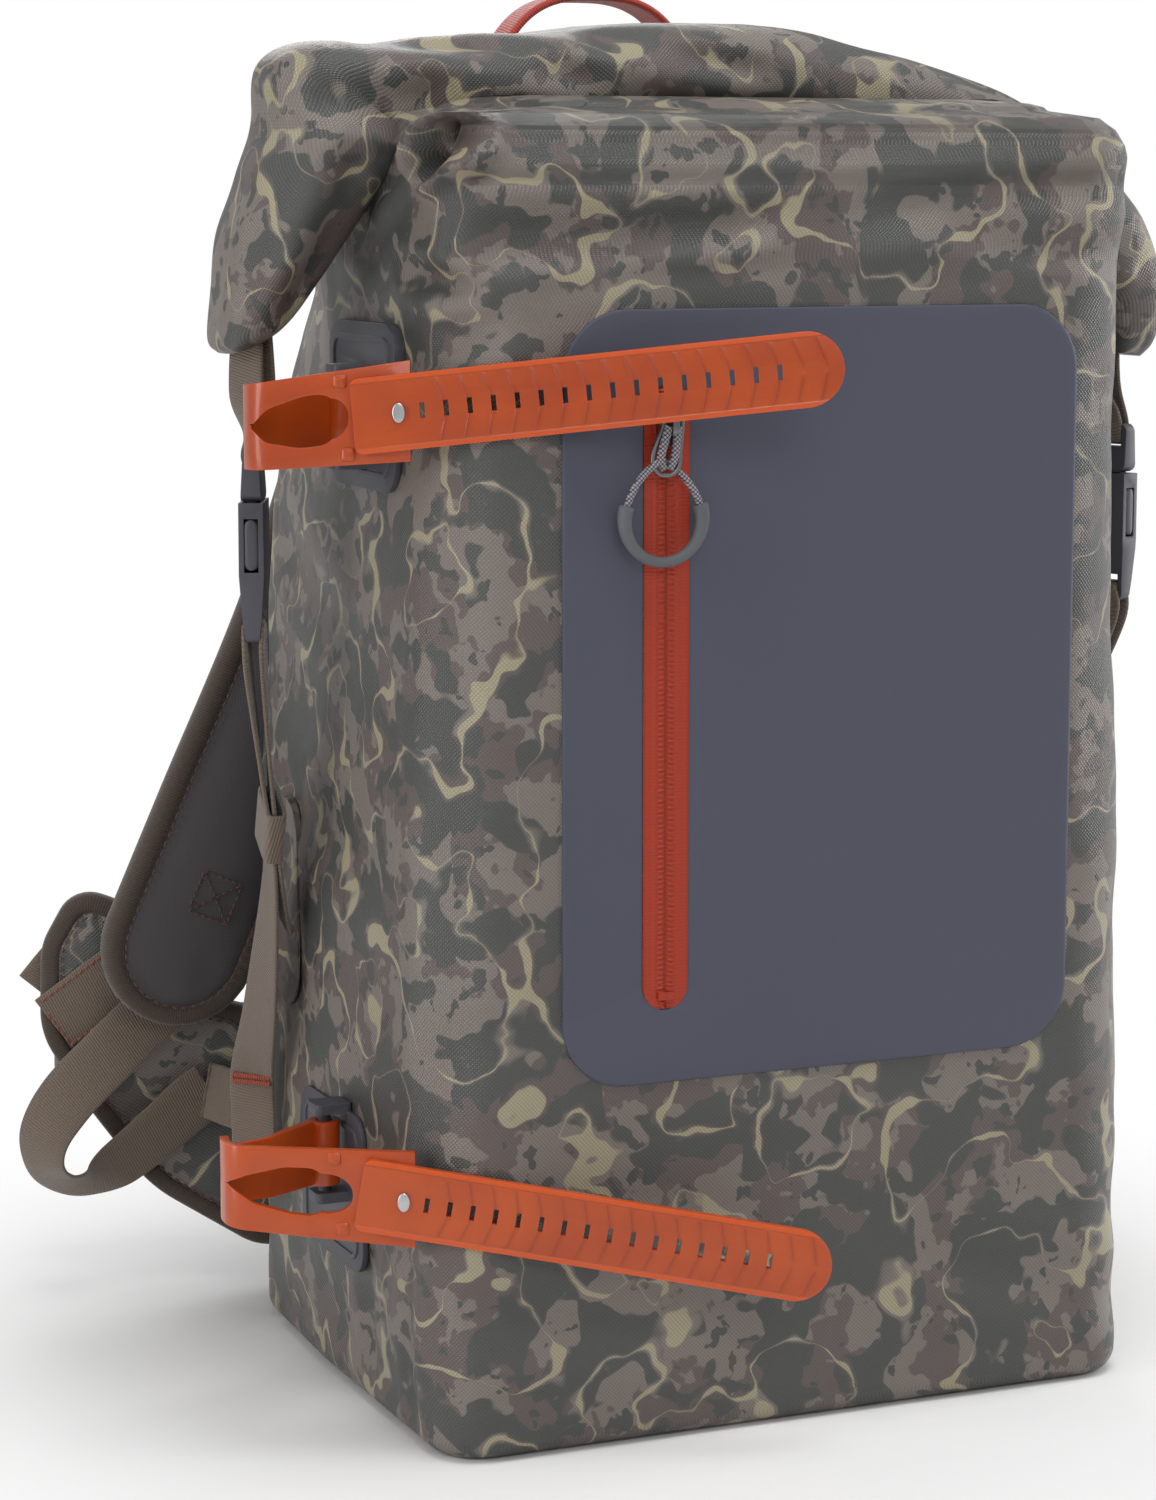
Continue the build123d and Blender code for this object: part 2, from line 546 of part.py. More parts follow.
# ---- hip belt ----
WING_ALONG = Vector(-cos(radians(WING_TURN)), sin(radians(WING_TURN)), 0)
WING_PLANE = Plane(origin=WING_ROOT, x_dir=WING_ALONG, z_dir=WING_ALONG.cross(Vector(0, 0, 1)))


def wing_outline():
    points = [(0, 26), (36, 15), (84, 31), (106, 62), (136, 112), (125, 162), (109, 166), (106, 116), (0, 112)]
    return fillet(make_face(Polyline(*points, close=True)).vertices(), 7)


def belt_wing():
    return WING_PLANE * extrude(offset(wing_outline(), -BINDING), WING_THICK / 2, both=True)


def wing_binding():
    rim = wing_outline() - offset(wing_outline(), -BINDING)
    return WING_PLANE * extrude(rim, WING_THICK / 2 - 1.5, both=True)


def belt_plane():
    """A level plane at the belt's height: local X out along the wing, local Y behind it."""
    return Plane(origin=WING_ROOT + Vector(0, 0, BELT_Z), x_dir=WING_ALONG, z_dir=(0, 0, -1))


def belt_webbing():
    """The belt's webbing, from the wing's tip round behind it."""
    on_wing = WING_THICK / 2 + 1.0
    line = FilletPolyline((88, on_wing), (116, on_wing), (116, 24), (98, 31), (BELT_END, 31), radius=[6, 7, 14])
    return belt_plane() * extrude(trace(line, WEB_THICK), BELT_WEB / 2, both=True)


def belt_socket():
    """The belt buckle's socket, open at its inner end, with a window on each edge."""
    shell = fillet(Box(42, 46, 13).edges().filter_by(Axis.Z), 5)
    shell -= Pos(8, 0) * Box(34, 38, 7.4)
    shell -= Pos(6, 0) * Box(18, 60, 7.4)
    shell -= Pos(-15, 0) * Box(5, BELT_WEB + 1, 30)
    return shell


def belt_plug():
    """The belt buckle's plug: a webbing bar, a guide and two sprung arms."""
    base = fillet(Box(22, 46, 11).edges().filter_by(Axis.Z), 5)
    base -= Pos(-4, 0) * Box(5, BELT_WEB + 1, 30)
    guide = Pos(24, 0) * Box(28, 5, 5)
    half_arm = make_face(Polyline((10, 13), (10, 17), (24, 18), (27, 18.6), (32, 18.6), (38, 14), (36, 12), (28, 15),
                                  close=True))
    arm = extrude(half_arm, 3, both=True)
    return base + guide + arm + mirror(arm, about=Plane.XZ)


def belt_end(shape, half_length):
    """Places a buckle half on the free end of the belt's webbing, its mouth towards the middle."""
    return belt_plane() * Pos(BELT_END - half_length - 0.1, 31, 0) * Rot(X=90) * Rot(Z=180) * shape


# ---- assembly ----
outer = body_core()
inner = body_core(SKIN)
roll = rolled_mouth()
stiffener = mouth_stiffener()
save("bag_body", outer - inner - mouth_slot())
save("base_tray", base_tray())
save("rolled_mouth", roll - stiffener)
save("mouth_stiffener", stiffener)
save("frame_sheet", Pos(0, BACK_Y - SKIN - 1.6, 200) * Box(200, 3.0, 330))

save("pocket_panel", pocket_panel())
save("zip_tape_left", zip_tape(-1))
save("zip_tape_right", zip_tape(1))
save("zip_coil", zip_coil())
save("zip_stops", Compound([zip_stop(ZIP_Z[0] + 5), zip_stop(ZIP_Z[1] - 4)]))
save("zip_slider", zip_slider())
save("zip_puller", zip_puller())
save("pull_cord", pull_cord())
save("pull_grip", pull_grip())

for level, y, z, bar_at in (("upper", PLATE_HIGH_Y, PLATE_HIGH_Z, BAR_HIGH),
                            ("lower", PLATE_LOW_Y, PLATE_LOW_Z, BAR_LOW)):
    plate = lash_plate(y, z, bar_at)
    save("lash_plate_" + level + "_left", plate - outer)
    save("lash_plate_" + level + "_right", mirrored(plate) - outer)
    bar = Vector(-side_x(z) - BAR_STANDOFF, bar_at[0], 0)
    face = GEAR_FACE[level]
    strap_z, slope = GEAR_Z[level]
    save("gear_loop_" + level, gear_loop((bar.dot(ALONG), bar.dot(OUTWARD)), face, strap_z))
    save("gear_tail_" + level, gear_tail(face, strap_z, slope))
    save("gear_hook_" + level, gear_hook(face, strap_z, slope))

save("webbing_tab_left", webbing_tab() - roll)
save("webbing_tab_right", mirrored(webbing_tab()) - roll)
save_pair("clip_male", clip_male())
save_pair("clip_female", clip_female())
save_pair("side_webbing", side_webbing())
save_pair("web_keeper", web_keeper())
patch = side_patch() - outer
save("side_patches", Compound([patch, mirrored(patch)]))
save_pair("side_anchor", side_anchor() - outer - side_webbing())

save("haul_handle", haul_handle())
save("yoke", yoke() - outer)
save_pair("back_pad", back_pad())
save("lumbar_pad", lumbar_pad())
save_pair("strap_pad", strap_pad())
save_pair("strap_binding", strap_binding())
save_pair("ladder_lock", ladder_lock())
save_pair("lower_webbing", lower_webbing())
save_pair("lower_tab", lower_tab() - outer)
save_pair("belt_wing", belt_wing())
save_pair("wing_binding", wing_binding())
save_pair("belt_webbing", belt_webbing())
save("belt_socket", belt_end(belt_socket(), 21))
save("belt_plug", mirrored(belt_end(belt_plug(), 11)))
print("sub-parts:", count)
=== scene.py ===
"""Builds the looks of a roll-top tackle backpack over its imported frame."""

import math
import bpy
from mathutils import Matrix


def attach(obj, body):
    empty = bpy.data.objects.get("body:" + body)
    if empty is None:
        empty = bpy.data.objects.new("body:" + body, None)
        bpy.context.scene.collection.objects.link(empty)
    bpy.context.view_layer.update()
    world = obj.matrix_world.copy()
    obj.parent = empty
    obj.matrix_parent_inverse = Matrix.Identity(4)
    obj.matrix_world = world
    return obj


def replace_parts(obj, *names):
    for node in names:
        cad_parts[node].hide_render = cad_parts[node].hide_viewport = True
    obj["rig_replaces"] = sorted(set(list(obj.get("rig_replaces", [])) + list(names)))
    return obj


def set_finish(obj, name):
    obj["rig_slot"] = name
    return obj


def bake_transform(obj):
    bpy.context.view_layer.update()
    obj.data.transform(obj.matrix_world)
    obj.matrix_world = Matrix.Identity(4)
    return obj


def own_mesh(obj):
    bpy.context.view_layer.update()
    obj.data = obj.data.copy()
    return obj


bl_info = {
    "name": "Roll-top tackle backpack",
    "version": (1, 0, 0),
    "blender": (4, 5, 0),
    "location": "3D View > Sidebar > Backpack",
    "description": "Builds the backpack's cloth, webbing, moulded parts and zip over its frame",
    "category": "Object",
}

from contextlib import contextmanager

import bmesh
import bpy
import numpy as np
from bpy.props import FloatProperty, FloatVectorProperty, PointerProperty
from mathutils import Vector, noise

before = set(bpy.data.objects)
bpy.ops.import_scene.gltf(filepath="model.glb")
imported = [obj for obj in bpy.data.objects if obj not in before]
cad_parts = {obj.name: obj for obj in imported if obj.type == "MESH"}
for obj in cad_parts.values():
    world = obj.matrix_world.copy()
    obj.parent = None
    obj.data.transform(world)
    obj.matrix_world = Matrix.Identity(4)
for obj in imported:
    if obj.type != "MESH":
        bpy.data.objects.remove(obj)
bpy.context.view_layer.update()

MM = 0.001
UP = np.array((0, 0, 1))
# the bag's front plane, the middle of the zip across it and the zip's ends
FRONT, ZIP_X, ZIP_LOW, ZIP_HIGH = -119, -59, 167, 397
# the way the hardware on the bag's sides lies, seen from above
SLANT_X, SLANT_Y = 0.9219, 0.3875
# the middle of a closure, across and along the bag
CLIP_X, CLIP_Y = 184, -20
# widths of the webbing
SIDE_WIDTH, STRAP_WIDTH, BELT_WIDTH, HANDLE_WIDTH = 20, 25, 38, 22


# ---- settings ----
def tint(name, text, red, green, blue):
    """A colour setting, its default given as it looks on a screen, 0 to 255."""
    linear = [((c / 255 + 0.055) / 1.055) ** 2.4 if c > 10 else c / 255 / 12.92 for c in (red, green, blue)]
    return FloatVectorProperty(name=name, description=text, subtype="COLOR", size=3, min=0, max=1, default=linear)


def length(name, text, default, low, high):
    """A size setting in metres."""
    return FloatProperty(name=name, description=text, subtype="DISTANCE", unit="LENGTH", default=default, min=low,
                         max=high)


class PackColours(bpy.types.PropertyGroup):
    taupe: tint("Camo ground", "Ground colour of the coated cloth", 127, 117, 110)
    mauve: tint("Camo brown", "Brown patches of the coated cloth", 97, 85, 81)
    char: tint("Camo dark", "Dark patches of the coated cloth", 69, 71, 67)
    khaki: tint("Camo pale", "Thin pale streaks of the coated cloth", 174, 165, 134)
    slate: tint("Pocket", "Front pocket panel", 78, 80, 94)
    lining: tint("Pad cloth", "Cloth of the harness pads", 74, 70, 73)
    mesh: tint("Pad mesh", "Spacer mesh of the back pads", 74, 73, 74)
    amber: tint("Gear straps", "Translucent moulded straps", 184, 73, 2)
    rust: tint("Zip tape", "Coated zip tape", 166, 50, 22)
    braid: tint("Pull cord", "Braided cord of the zip pull", 116, 114, 120)
    grip: tint("Pull grip", "Moulded sleeve of the zip pull", 88, 92, 96)
    webbing: tint("Webbing", "Brown webbing", 112, 97, 84)
    binding: tint("Binding", "Knitted binding of the pads", 74, 62, 54)
    thread: tint("Stitching", "Rust coloured thread", 84, 44, 34)
    bartack: tint("Bartacks", "Thick stitches that hold the webbing", 150, 62, 34)
    handle: tint("Handle", "Hand loop webbing", 180, 46, 20)
    plastic: tint("Mouldings", "Plates, clips and buckles", 66, 66, 73)
    steel: tint("Metal", "Hooks and zip pull", 190, 190, 192)


class PackSizes(bpy.types.PropertyGroup):
    weave: length("Weave", "Pitch of the diamond weave", 0.0016, 0.0005, 0.01)
    rib: length("Webbing rib", "Pitch of the webbing's ribs", 0.00115, 0.0004, 0.01)
    slack: length("Slack", "How far the cloth stands in and out between its seams", 0.0022, 0, 0.01)


# ---- shader maths ----
class Wire:
    """A node's output that can stand in a sum; each sum adds its Math node."""

    def __init__(self, finish, socket):
        self.finish, self.socket = finish, socket

    def _with(self, operation, first, second):
        """One Math node on two values or wires."""
        return self.finish.node("Math", {"operation": operation}, first, second)

    def __add__(self, other):
        return self._with("ADD", self, other)

    def __radd__(self, other):
        return self._with("ADD", other, self)

    def __sub__(self, other):
        return self._with("SUBTRACT", self, other)

    def __rsub__(self, other):
        return self._with("SUBTRACT", other, self)

    def __mul__(self, other):
        return self._with("MULTIPLY", self, other)

    def __rmul__(self, other):
        return self._with("MULTIPLY", other, self)

    def __truediv__(self, other):
        return self._with("DIVIDE", self, other)

    def __pow__(self, other):
        return self._with("POWER", self, other)

    def __abs__(self):
        return self.finish.node("Math", {"operation": "ABSOLUTE"}, self)

    def sine(self):
        return self.finish.node("Math", {"operation": "SINE"}, self)

    def most(self, other):
        return self._with("MAXIMUM", self, other)

    def step(self, low, high):
        """0 below low, 1 above high, smooth between; low above high turns it round."""
        return self.finish.node("MapRange", {"interpolation_type": "SMOOTHSTEP"}, self, low, high, 0.0, 1.0)


class Finish:
    """One material being made."""

    def __init__(self, name):
        self.material = bpy.data.materials.new(name)
        self.material.use_nodes = True
        self.tree = self.material.node_tree
        self.tree.nodes.clear()

    def node(self, kind, settings=None, *values, output=0, **sockets):
        """A node of any type: its settings, then the values or wires of its sockets by order or by name."""
        node = self.tree.nodes.new("ShaderNode" + kind)
        for key, value in (settings or {}).items():
            setattr(node, key, value)
        for index, value in enumerate(values):
            self.join(node.inputs[index], value)
        for key, value in sockets.items():
            self.join(node.inputs[key.replace("_", " ")], value)
        return Wire(self, node.outputs[output])

    def join(self, socket, value):
        """Links a wire to a socket or sets the socket's value; None leaves it as it is."""
        if isinstance(value, Wire):
            self.tree.links.new(value.socket, socket)
        elif value is not None:
            if hasattr(value, "__len__") and len(socket.default_value) == 4:
                value = (*value[:3], 1.0)
            socket.default_value = value

    def mix(self, share, first, second):
        """The first colour, turning into the second as the share goes to 1."""
        node = self.tree.nodes.new("ShaderNodeMix")
        node.data_type = "RGBA"
        for index, value in ((0, share), (6, first), (7, second)):
            self.join(node.inputs[index], value)
        return Wire(self, node.outputs[2])

    def object_place(self):
        """The place in the pack's own space, in metres."""
        return self.node("TexCoord", None, output=3)

    def cloth_place(self):
        """The place across and along the cloth, in metres."""
        return self.node("UVMap", {"uv_map": "cloth"})

    def parts(self, vector):
        """A vector's three numbers."""
        node = self.tree.nodes.new("ShaderNodeSeparateXYZ")
        self.join(node.inputs[0], vector)
        return [Wire(self, socket) for socket in node.outputs]

    def shifted(self, vector, by):
        return self.node("VectorMath", {"operation": "ADD"}, vector, by)

    def noise(self, vector, size, detail=2.0, rough=0.5):
        """Cloudy noise whose clouds are about size metres wide."""
        return self.node("TexNoise", None, Vector=vector, Scale=0.6 / size, Detail=detail, Roughness=rough)

    def bump(self, height, depth):
        """A relief whose height of 1 stands depth metres."""
        return self.node("Bump", None, Strength=1.0, Distance=depth, Height=height)

    def surface(self, base, rough, normal, fixed=None):
        """The surface itself; fixed holds the sockets that are one number all over."""
        shader = self.node("BsdfPrincipled", None, Base_Color=base, Roughness=rough, Normal=normal)
        for key, value in (fixed or {}).items():
            shader.socket.node.inputs[key].default_value = value
        output = self.tree.nodes.new("ShaderNodeOutputMaterial")
        self.tree.links.new(shader.socket, output.inputs[0])
        return self.material


def colours():
    return bpy.context.scene.pack_colours


def sizes():
    return bpy.context.scene.pack_sizes


def shade(colour, by):
    """A colour darker or lighter by a factor."""
    return tuple(min(1, x * by) for x in colour)


def weave_place(finish, on_pad):
    """Two measures along the cloth: from its own map, or on a pad from its place in space."""
    if not on_pad:
        return finish.parts(finish.cloth_place())[:2]
    x, y, z = finish.parts(finish.object_place())
    return x + y * 0.7, z + y * 0.4


def diamonds(finish, pitch, on_pad=False):
    """The relief of the woven diamonds, 0 in the gaps and 1 on the yarns."""
    u, v = weave_place(finish, on_pad)
    turn = math.pi / pitch
    return abs(((u + v) * turn).sine()) * abs(((u - v) * turn).sine())


def camo_finish(name="camo", on_pad=False):
    """Coated cloth: a ground with brown and dark patches and thin broken pale streaks, over a diamond weave with
    painted shade in its gaps.
    """
    f = Finish(name)
    c = colours()
    place = f.object_place()
    wander = f.node("TexNoise", None, Vector=place, Scale=42.0, Detail=2.0, output=1)
    wander = f.node("VectorMath", {"operation": "MULTIPLY_ADD"}, wander, (0.011, 0.011, 0.011), place)
    brown = f.noise(f.shifted(wander, (0.2, 7.3, 4.1)), 0.0145, 3.0, 0.6).step(0.50, 0.52)
    dark = f.noise(f.shifted(wander, (3.1, 0.4, 1.7)), 0.0155, 2.0, 0.5).step(0.51, 0.53)
    speck = f.noise(f.shifted(wander, (9.1, 3.4, 0.7)), 0.006, 2.0, 0.5).step(0.59, 0.61)
    streak = abs(f.noise(f.shifted(wander, (5.7, 2.2, 9.4)), 0.0215, 1.5, 0.45) - 0.5)
    broken = f.noise(f.shifted(place, (1.3, 8.8, 2.6)), 0.011, 1.0).step(0.40, 0.70)
    pale = (streak - broken * 0.024).step(0.005, -0.003)
    halo = (streak - broken * 0.040).step(0.020, -0.004)
    base = f.mix(brown, tuple(c.taupe), tuple(c.mauve))
    base = f.mix(dark.most(speck) * (1 - halo), base, tuple(c.char))
    base = f.mix(pale * 0.9, base, tuple(c.khaki))
    weave = diamonds(f, sizes().weave, on_pad)
    cloudy = f.noise(place, 0.09, 2.0)
    # painted shade: the weave's gaps darkened towards black
    base = f.mix((1 - weave) * 0.38, base, (0.018, 0.018, 0.018))
    rough = 0.24 + cloudy * 0.14 + (1 - weave) * 0.12
    return f.surface(base, rough, f.bump(weave, 0.00018), {"Specular IOR Level": 0.62})


def slate_finish():
    """The pocket's laminated cloth, nearly smooth, with a fine dry grain."""
    f = Finish("slate laminate")
    place = f.object_place()
    u, v, _ = f.parts(f.cloth_place())
    fine = ((u * 5200.0).sine() * (v * 5200.0).sine()) * 0.5 + 0.5
    cloudy = f.noise(place, 0.05, 3.0)
    slate = tuple(colours().slate)
    base = f.mix(cloudy.step(0.3, 0.7) * 0.12, slate, shade(slate, 0.72))
    return f.surface(base, 0.5 + cloudy * 0.12, f.bump(fine * 0.5 + cloudy, 0.00005), {"Specular IOR Level": 0.3})


def cloth_finish(name, colour, rough=0.85):
    """Plain soft cloth: fine crossed yarns with a little sheen."""
    f = Finish(name)
    u, v = weave_place(f, True)
    yarn = (abs((u * 3600.0).sine()) + abs((v * 3600.0).sine())) * 0.5
    cloudy = f.noise(f.object_place(), 0.03, 3.0)
    base = f.mix(yarn * 0.35 + cloudy * 0.15, tuple(colour), shade(colour, 0.55))
    return f.surface(base, rough, f.bump(yarn, 0.0001), {"Sheen Weight": 0.25, "Sheen Roughness": 0.5})


def mesh_finish():
    """Spacer mesh: rows of small round holes, staggered, with painted shade in the holes."""
    f = Finish("spacer mesh")
    u, v = weave_place(f, True)
    turn = math.pi / 0.0032
    holes = abs(((u + v * 0.6) * turn).sine()) * abs(((u - v * 0.6) * turn).sine())
    open_part = holes.step(0.45, 0.75)
    mesh = tuple(colours().mesh)
    # painted shade: the holes darkened to a quarter of the mesh's colour
    base = f.mix(open_part, mesh, shade(mesh, 0.25))
    return f.surface(base, 0.85, f.bump(1 - open_part, 0.0006), {"Sheen Weight": 0.2})


def webbing_finish(name, colour, rough=0.7):
    """Woven webbing: ribs across its length, with thicker edges, and painted shade in the grooves between the ribs."""
    f = Finish(name)
    u, v, _ = f.parts(f.cloth_place())
    ribs = abs(((v + u * 0.18) * (math.pi / sizes().rib)).sine())
    yarns = abs((u * (math.pi / 0.0009)).sine())
    worn = f.noise(f.object_place(), 0.02, 3.0)
    height = ribs * 0.8 + yarns * 0.2
    # painted shade: darker where the ribs and yarns are low; worn adds a random tone
    base = f.mix((1 - height) * 0.55 + worn * 0.1, tuple(colour), shade(colour, 0.38))
    return f.surface(base, rough, f.bump(height, 0.00028), {"Sheen Weight": 0.3, "Sheen Roughness": 0.45})


def binding_finish():
    """Knitted binding, rolled over the pads' edges, with painted shade between its rows of knit."""
    f = Finish("binding")
    _, v, _ = f.parts(f.cloth_place())
    knit = abs((v * (math.pi / 0.0011)).sine())
    cloudy = f.noise(f.object_place(), 0.018, 3.0)
    colour = tuple(colours().binding)
    # painted shade: darker between the knit's rows; cloudy adds a random tone
    base = f.mix((1 - knit) * 0.4 + cloudy * 0.25, colour, shade(colour, 0.5))
    return f.surface(base, 0.85, f.bump(knit, 0.00018), {"Sheen Weight": 0.35, "Sheen Roughness": 0.4})


def amber_finish(name="amber elastomer", ribbed=False):
    """The translucent moulded straps: clear orange, darker where it is thick, with faint flow lines.

    The ribbed kind has slanting ridges that meet at each slot, and a raised rim with a painted glow, lighter than the
    amber."""
    f = Finish(name)
    place = f.object_place()
    flow = f.noise(place, 0.022, 2.0)
    amber = tuple(colours().amber)
    deep = tuple(x * y for x, y in zip(amber, (0.62, 0.42, 0.4)))
    base = f.mix(flow.step(0.3, 0.75) * 0.55, amber, deep)
    height = f.noise(place, 0.007, 2.0) * 0.25
    if ribbed:
        u, v, _ = f.parts(f.cloth_place())
        ridge = abs((((u + abs(v) * 0.30) * (math.pi / 0.0085)) - 0.12).sine())
        ridge = (1 - ridge) ** 3.0 * abs(v).step(0.0002, 0.003) * abs(v).step(0.0118, 0.0105) * u.step(0.006, 0.012)
        rim = abs(v).step(0.0112, 0.0119)
        height = height + ridge * 0.9 + rim
        base = f.mix(ridge * 0.55, base, deep)
        # painted glow: the raised rim lit lighter than the amber
        base = f.mix(rim * 0.6, base, shade(amber, 1.35))
    fixed = {"Subsurface Weight": 0.35, "Subsurface Scale": 0.004, "Subsurface Radius": (1.0, 0.25, 0.08),
             "IOR": 1.46, "Coat Weight": 0.35, "Coat Roughness": 0.07}
    return f.surface(base, 0.3 + flow * 0.12, f.bump(height, 0.00045), fixed)


def zip_finish():
    """Rubber-coated zip tape, with painted shade in its fine grooves, along its middle seam and along its edges."""
    f = Finish("zip coating")
    place = f.object_place()
    across, _, up = f.parts(place)
    lines = abs((up * (math.pi / 0.0013)).sine())
    from_seam = abs(across - ZIP_X * MM)
    # painted shade: darker along the middle seam and near the tape's outer edges
    painted_groove_shade = from_seam.step(0.0008, 0.0002) * 0.5 + from_seam.step(0.0080, 0.0090) * 0.45
    dust = f.noise(place, 0.012, 3.0)
    rust = tuple(colours().rust)
    # painted shade: darker between the fine lines; dust adds a random tone
    base = f.mix((1 - lines) * 0.24 + dust * 0.10 + painted_groove_shade, rust, shade(rust, 0.6))
    return f.surface(base, 0.42 + dust * 0.12, f.bump(lines, 0.0001), {"Specular IOR Level": 0.4})


def moulded_finish(name, colour, rough=0.42, grain=0.0012):
    """Moulded plastic: fine spark-eroded grain and slightly rubbed high spots."""
    f = Finish(name)
    place = f.object_place()
    fine = f.noise(place, grain, 2.0)
    rubbed = f.noise(place, 0.02, 3.0)
    base = f.mix(rubbed.step(0.4, 0.8) * 0.25, tuple(colour), shade(colour, 1.5))
    return f.surface(base, rough + rubbed * 0.12, f.bump(fine, 0.00004))


def metal_finish(name, colour, rough):
    """Bare metal, a little rubbed."""
    f = Finish(name)
    place = f.object_place()
    rubbed = f.noise(place, 0.004, 3.0)
    return f.surface(tuple(colour), rough + rubbed * 0.15, f.bump(rubbed, 0.00003), {"Metallic": 1.0})


def braid_finish():
    """The cord's braid: two sets of yarns crossing, with painted shade in the gaps between them and painted light on
    their tops.
    """
    f = Finish("cord braid")
    across, _, up = f.parts(f.object_place())
    turn = math.pi / 0.0016
    yarns = abs(((across + up) * turn).sine()) * abs(((across - up) * turn).sine())
    colour = tuple(colours().braid)
    # painted shade in the yarns' gaps and painted light on their tops
    base = f.mix(yarns.step(0.2, 0.5), shade(colour, 0.28), shade(colour, 2.1))
    return f.surface(base, 0.75, f.bump(yarns, 0.0002))


finishes = {}


def finish(name):
    """The named finish, made the first time it is asked for."""
    makers = {
        "camo": camo_finish,
        "camo_pad": lambda: camo_finish("camo pad", True),
        "slate": slate_finish,
        "lining": lambda: cloth_finish("pad lining", colours().lining),
        "mesh": mesh_finish,
        "webbing": lambda: webbing_finish("brown webbing", colours().webbing),
        "handle": lambda: webbing_finish("handle webbing", colours().handle, 0.6),
        "binding": binding_finish,
        "amber": amber_finish,
        "ribbed amber": lambda: amber_finish("ribbed amber", True),
        "zip": zip_finish,
        "plastic": lambda: moulded_finish("dark moulding", colours().plastic),
        "grip": lambda: moulded_finish("grip rubber", colours().grip, 0.55, 0.0008),
        "steel": lambda: metal_finish("bright steel", colours().steel, 0.22),
        "gunmetal": lambda: metal_finish("dark zinc", shade(colours().steel, 0.35), 0.3),
        "braid": braid_finish,
        "bartack": lambda: cloth_finish("bartack thread", colours().bartack, 0.6),
        "thread": lambda: cloth_finish("thread", colours().thread, 0.7),
    }
    if name not in finishes:
        finishes[name] = makers[name]()
    return finishes[name]


# ---- shapes ----
def added(name, data):
    """A new object in the scene."""
    thing = bpy.data.objects.new(name, data)
    bpy.context.scene.collection.objects.link(thing)
    return thing


@contextmanager
def edited(piece):
    """The piece's mesh, opened for editing and written back at the end."""
    shape = bmesh.new()
    shape.from_mesh(piece.data)
    yield shape
    shape.to_mesh(piece.data)
    shape.free()


def vectors(items, key):
    """One vector for each of a mesh's items, as rows."""
    flat = np.empty(len(items) * 3)
    items.foreach_get(key, flat)
    return flat.reshape(-1, 3)


def smooth_faces(mesh):
    """Shades every face of a mesh smooth."""
    mesh.polygons.foreach_set("use_smooth", [True] * len(mesh.polygons))


def smooth_line(points, per=10, closed=False):
    """Points along a smooth line through the given ones (rows of numbers)."""
    rows = np.array(points, float)
    count = len(rows)
    spans = count if closed else count - 1
    line = []
    for i in range(spans):
        p = [rows[(i + k) % count if closed else min(max(i + k, 0), count - 1)] for k in (-1, 0, 1, 2)]
        for t in np.arange(per) / per:
            line.append(0.5 * (2 * p[1] + (p[2] - p[0]) * t + (2 * p[0] - 5 * p[1] + 4 * p[2] - p[3]) * t * t
                               + (3 * p[1] - p[0] - 3 * p[2] + p[3]) * t ** 3))
    if not closed:
        line.append(rows[-1])
    return np.array(line)


def unit(rows):
    """The rows, each brought to a length of 1."""
    return rows / np.maximum(np.linalg.norm(rows, axis=-1, keepdims=True), 1e-9)


def skin(name, rings, closed=True, loop=False, lids=(True, True), across=None):
    """A surface through rings of points in millimetres, its cloth measured along it in metres.

    closed joins each ring's ends, loop joins the last ring to the first, and lids close the first and last rings.
    across gives each point's place across the cloth, where that isn't its place round the ring."""
    rings = np.array(rings, float) * MM
    rows, count = rings.shape[:2]
    step = np.linalg.norm(np.roll(rings, -1, axis=1) - rings, axis=2)
    around = np.concatenate([np.zeros((rows, 1)), np.cumsum(step, axis=1)], axis=1)
    if across is not None:
        around = np.tile(np.append(across, across[0]) * MM, (rows, 1))
    between = np.linalg.norm(np.roll(rings, -1, axis=0) - rings, axis=2).mean(axis=1)
    along = np.concatenate([[0], np.cumsum(between)])
    verts = [tuple(p) for ring in rings for p in ring]
    faces, uvs = [], []
    for i in range(rows if loop else rows - 1):
        n = (i + 1) % rows
        for j in range(count if closed else count - 1):
            k = (j + 1) % count
            faces.append((i * count + j, i * count + k, n * count + k, n * count + j))
            uvs += [(around[i, j], along[i]), (around[i, j + 1], along[i]),
                    (around[n, j + 1], along[i + 1]), (around[n, j], along[i + 1])]
    for at, wanted in ((0, lids[0]), (rows - 1, lids[1])):
        if wanted and closed and not loop:
            middle = len(verts)
            verts.append(tuple(rings[at].mean(axis=0)))
            for j in range(count):
                k = (j + 1) % count
                faces.append((at * count + k, at * count + j, middle) if at == 0
                             else (at * count + j, at * count + k, middle))
                uvs += [(0, 0), (0.001, 0), (0, 0.001)]
    mesh = bpy.data.meshes.new(name)
    mesh.from_pydata(verts, [], faces)
    layer = mesh.uv_layers.new(name="cloth")
    layer.data.foreach_set("uv", np.array(uvs, np.float32).ravel())
    smooth_faces(mesh)
    piece = added(name, mesh)
    if closed:
        face_outwards(piece)
    return piece


def face_outwards(piece):
    """Turns a closed piece's faces outwards."""
    with edited(piece) as shape:
        bmesh.ops.recalc_face_normals(shape, faces=shape.faces)


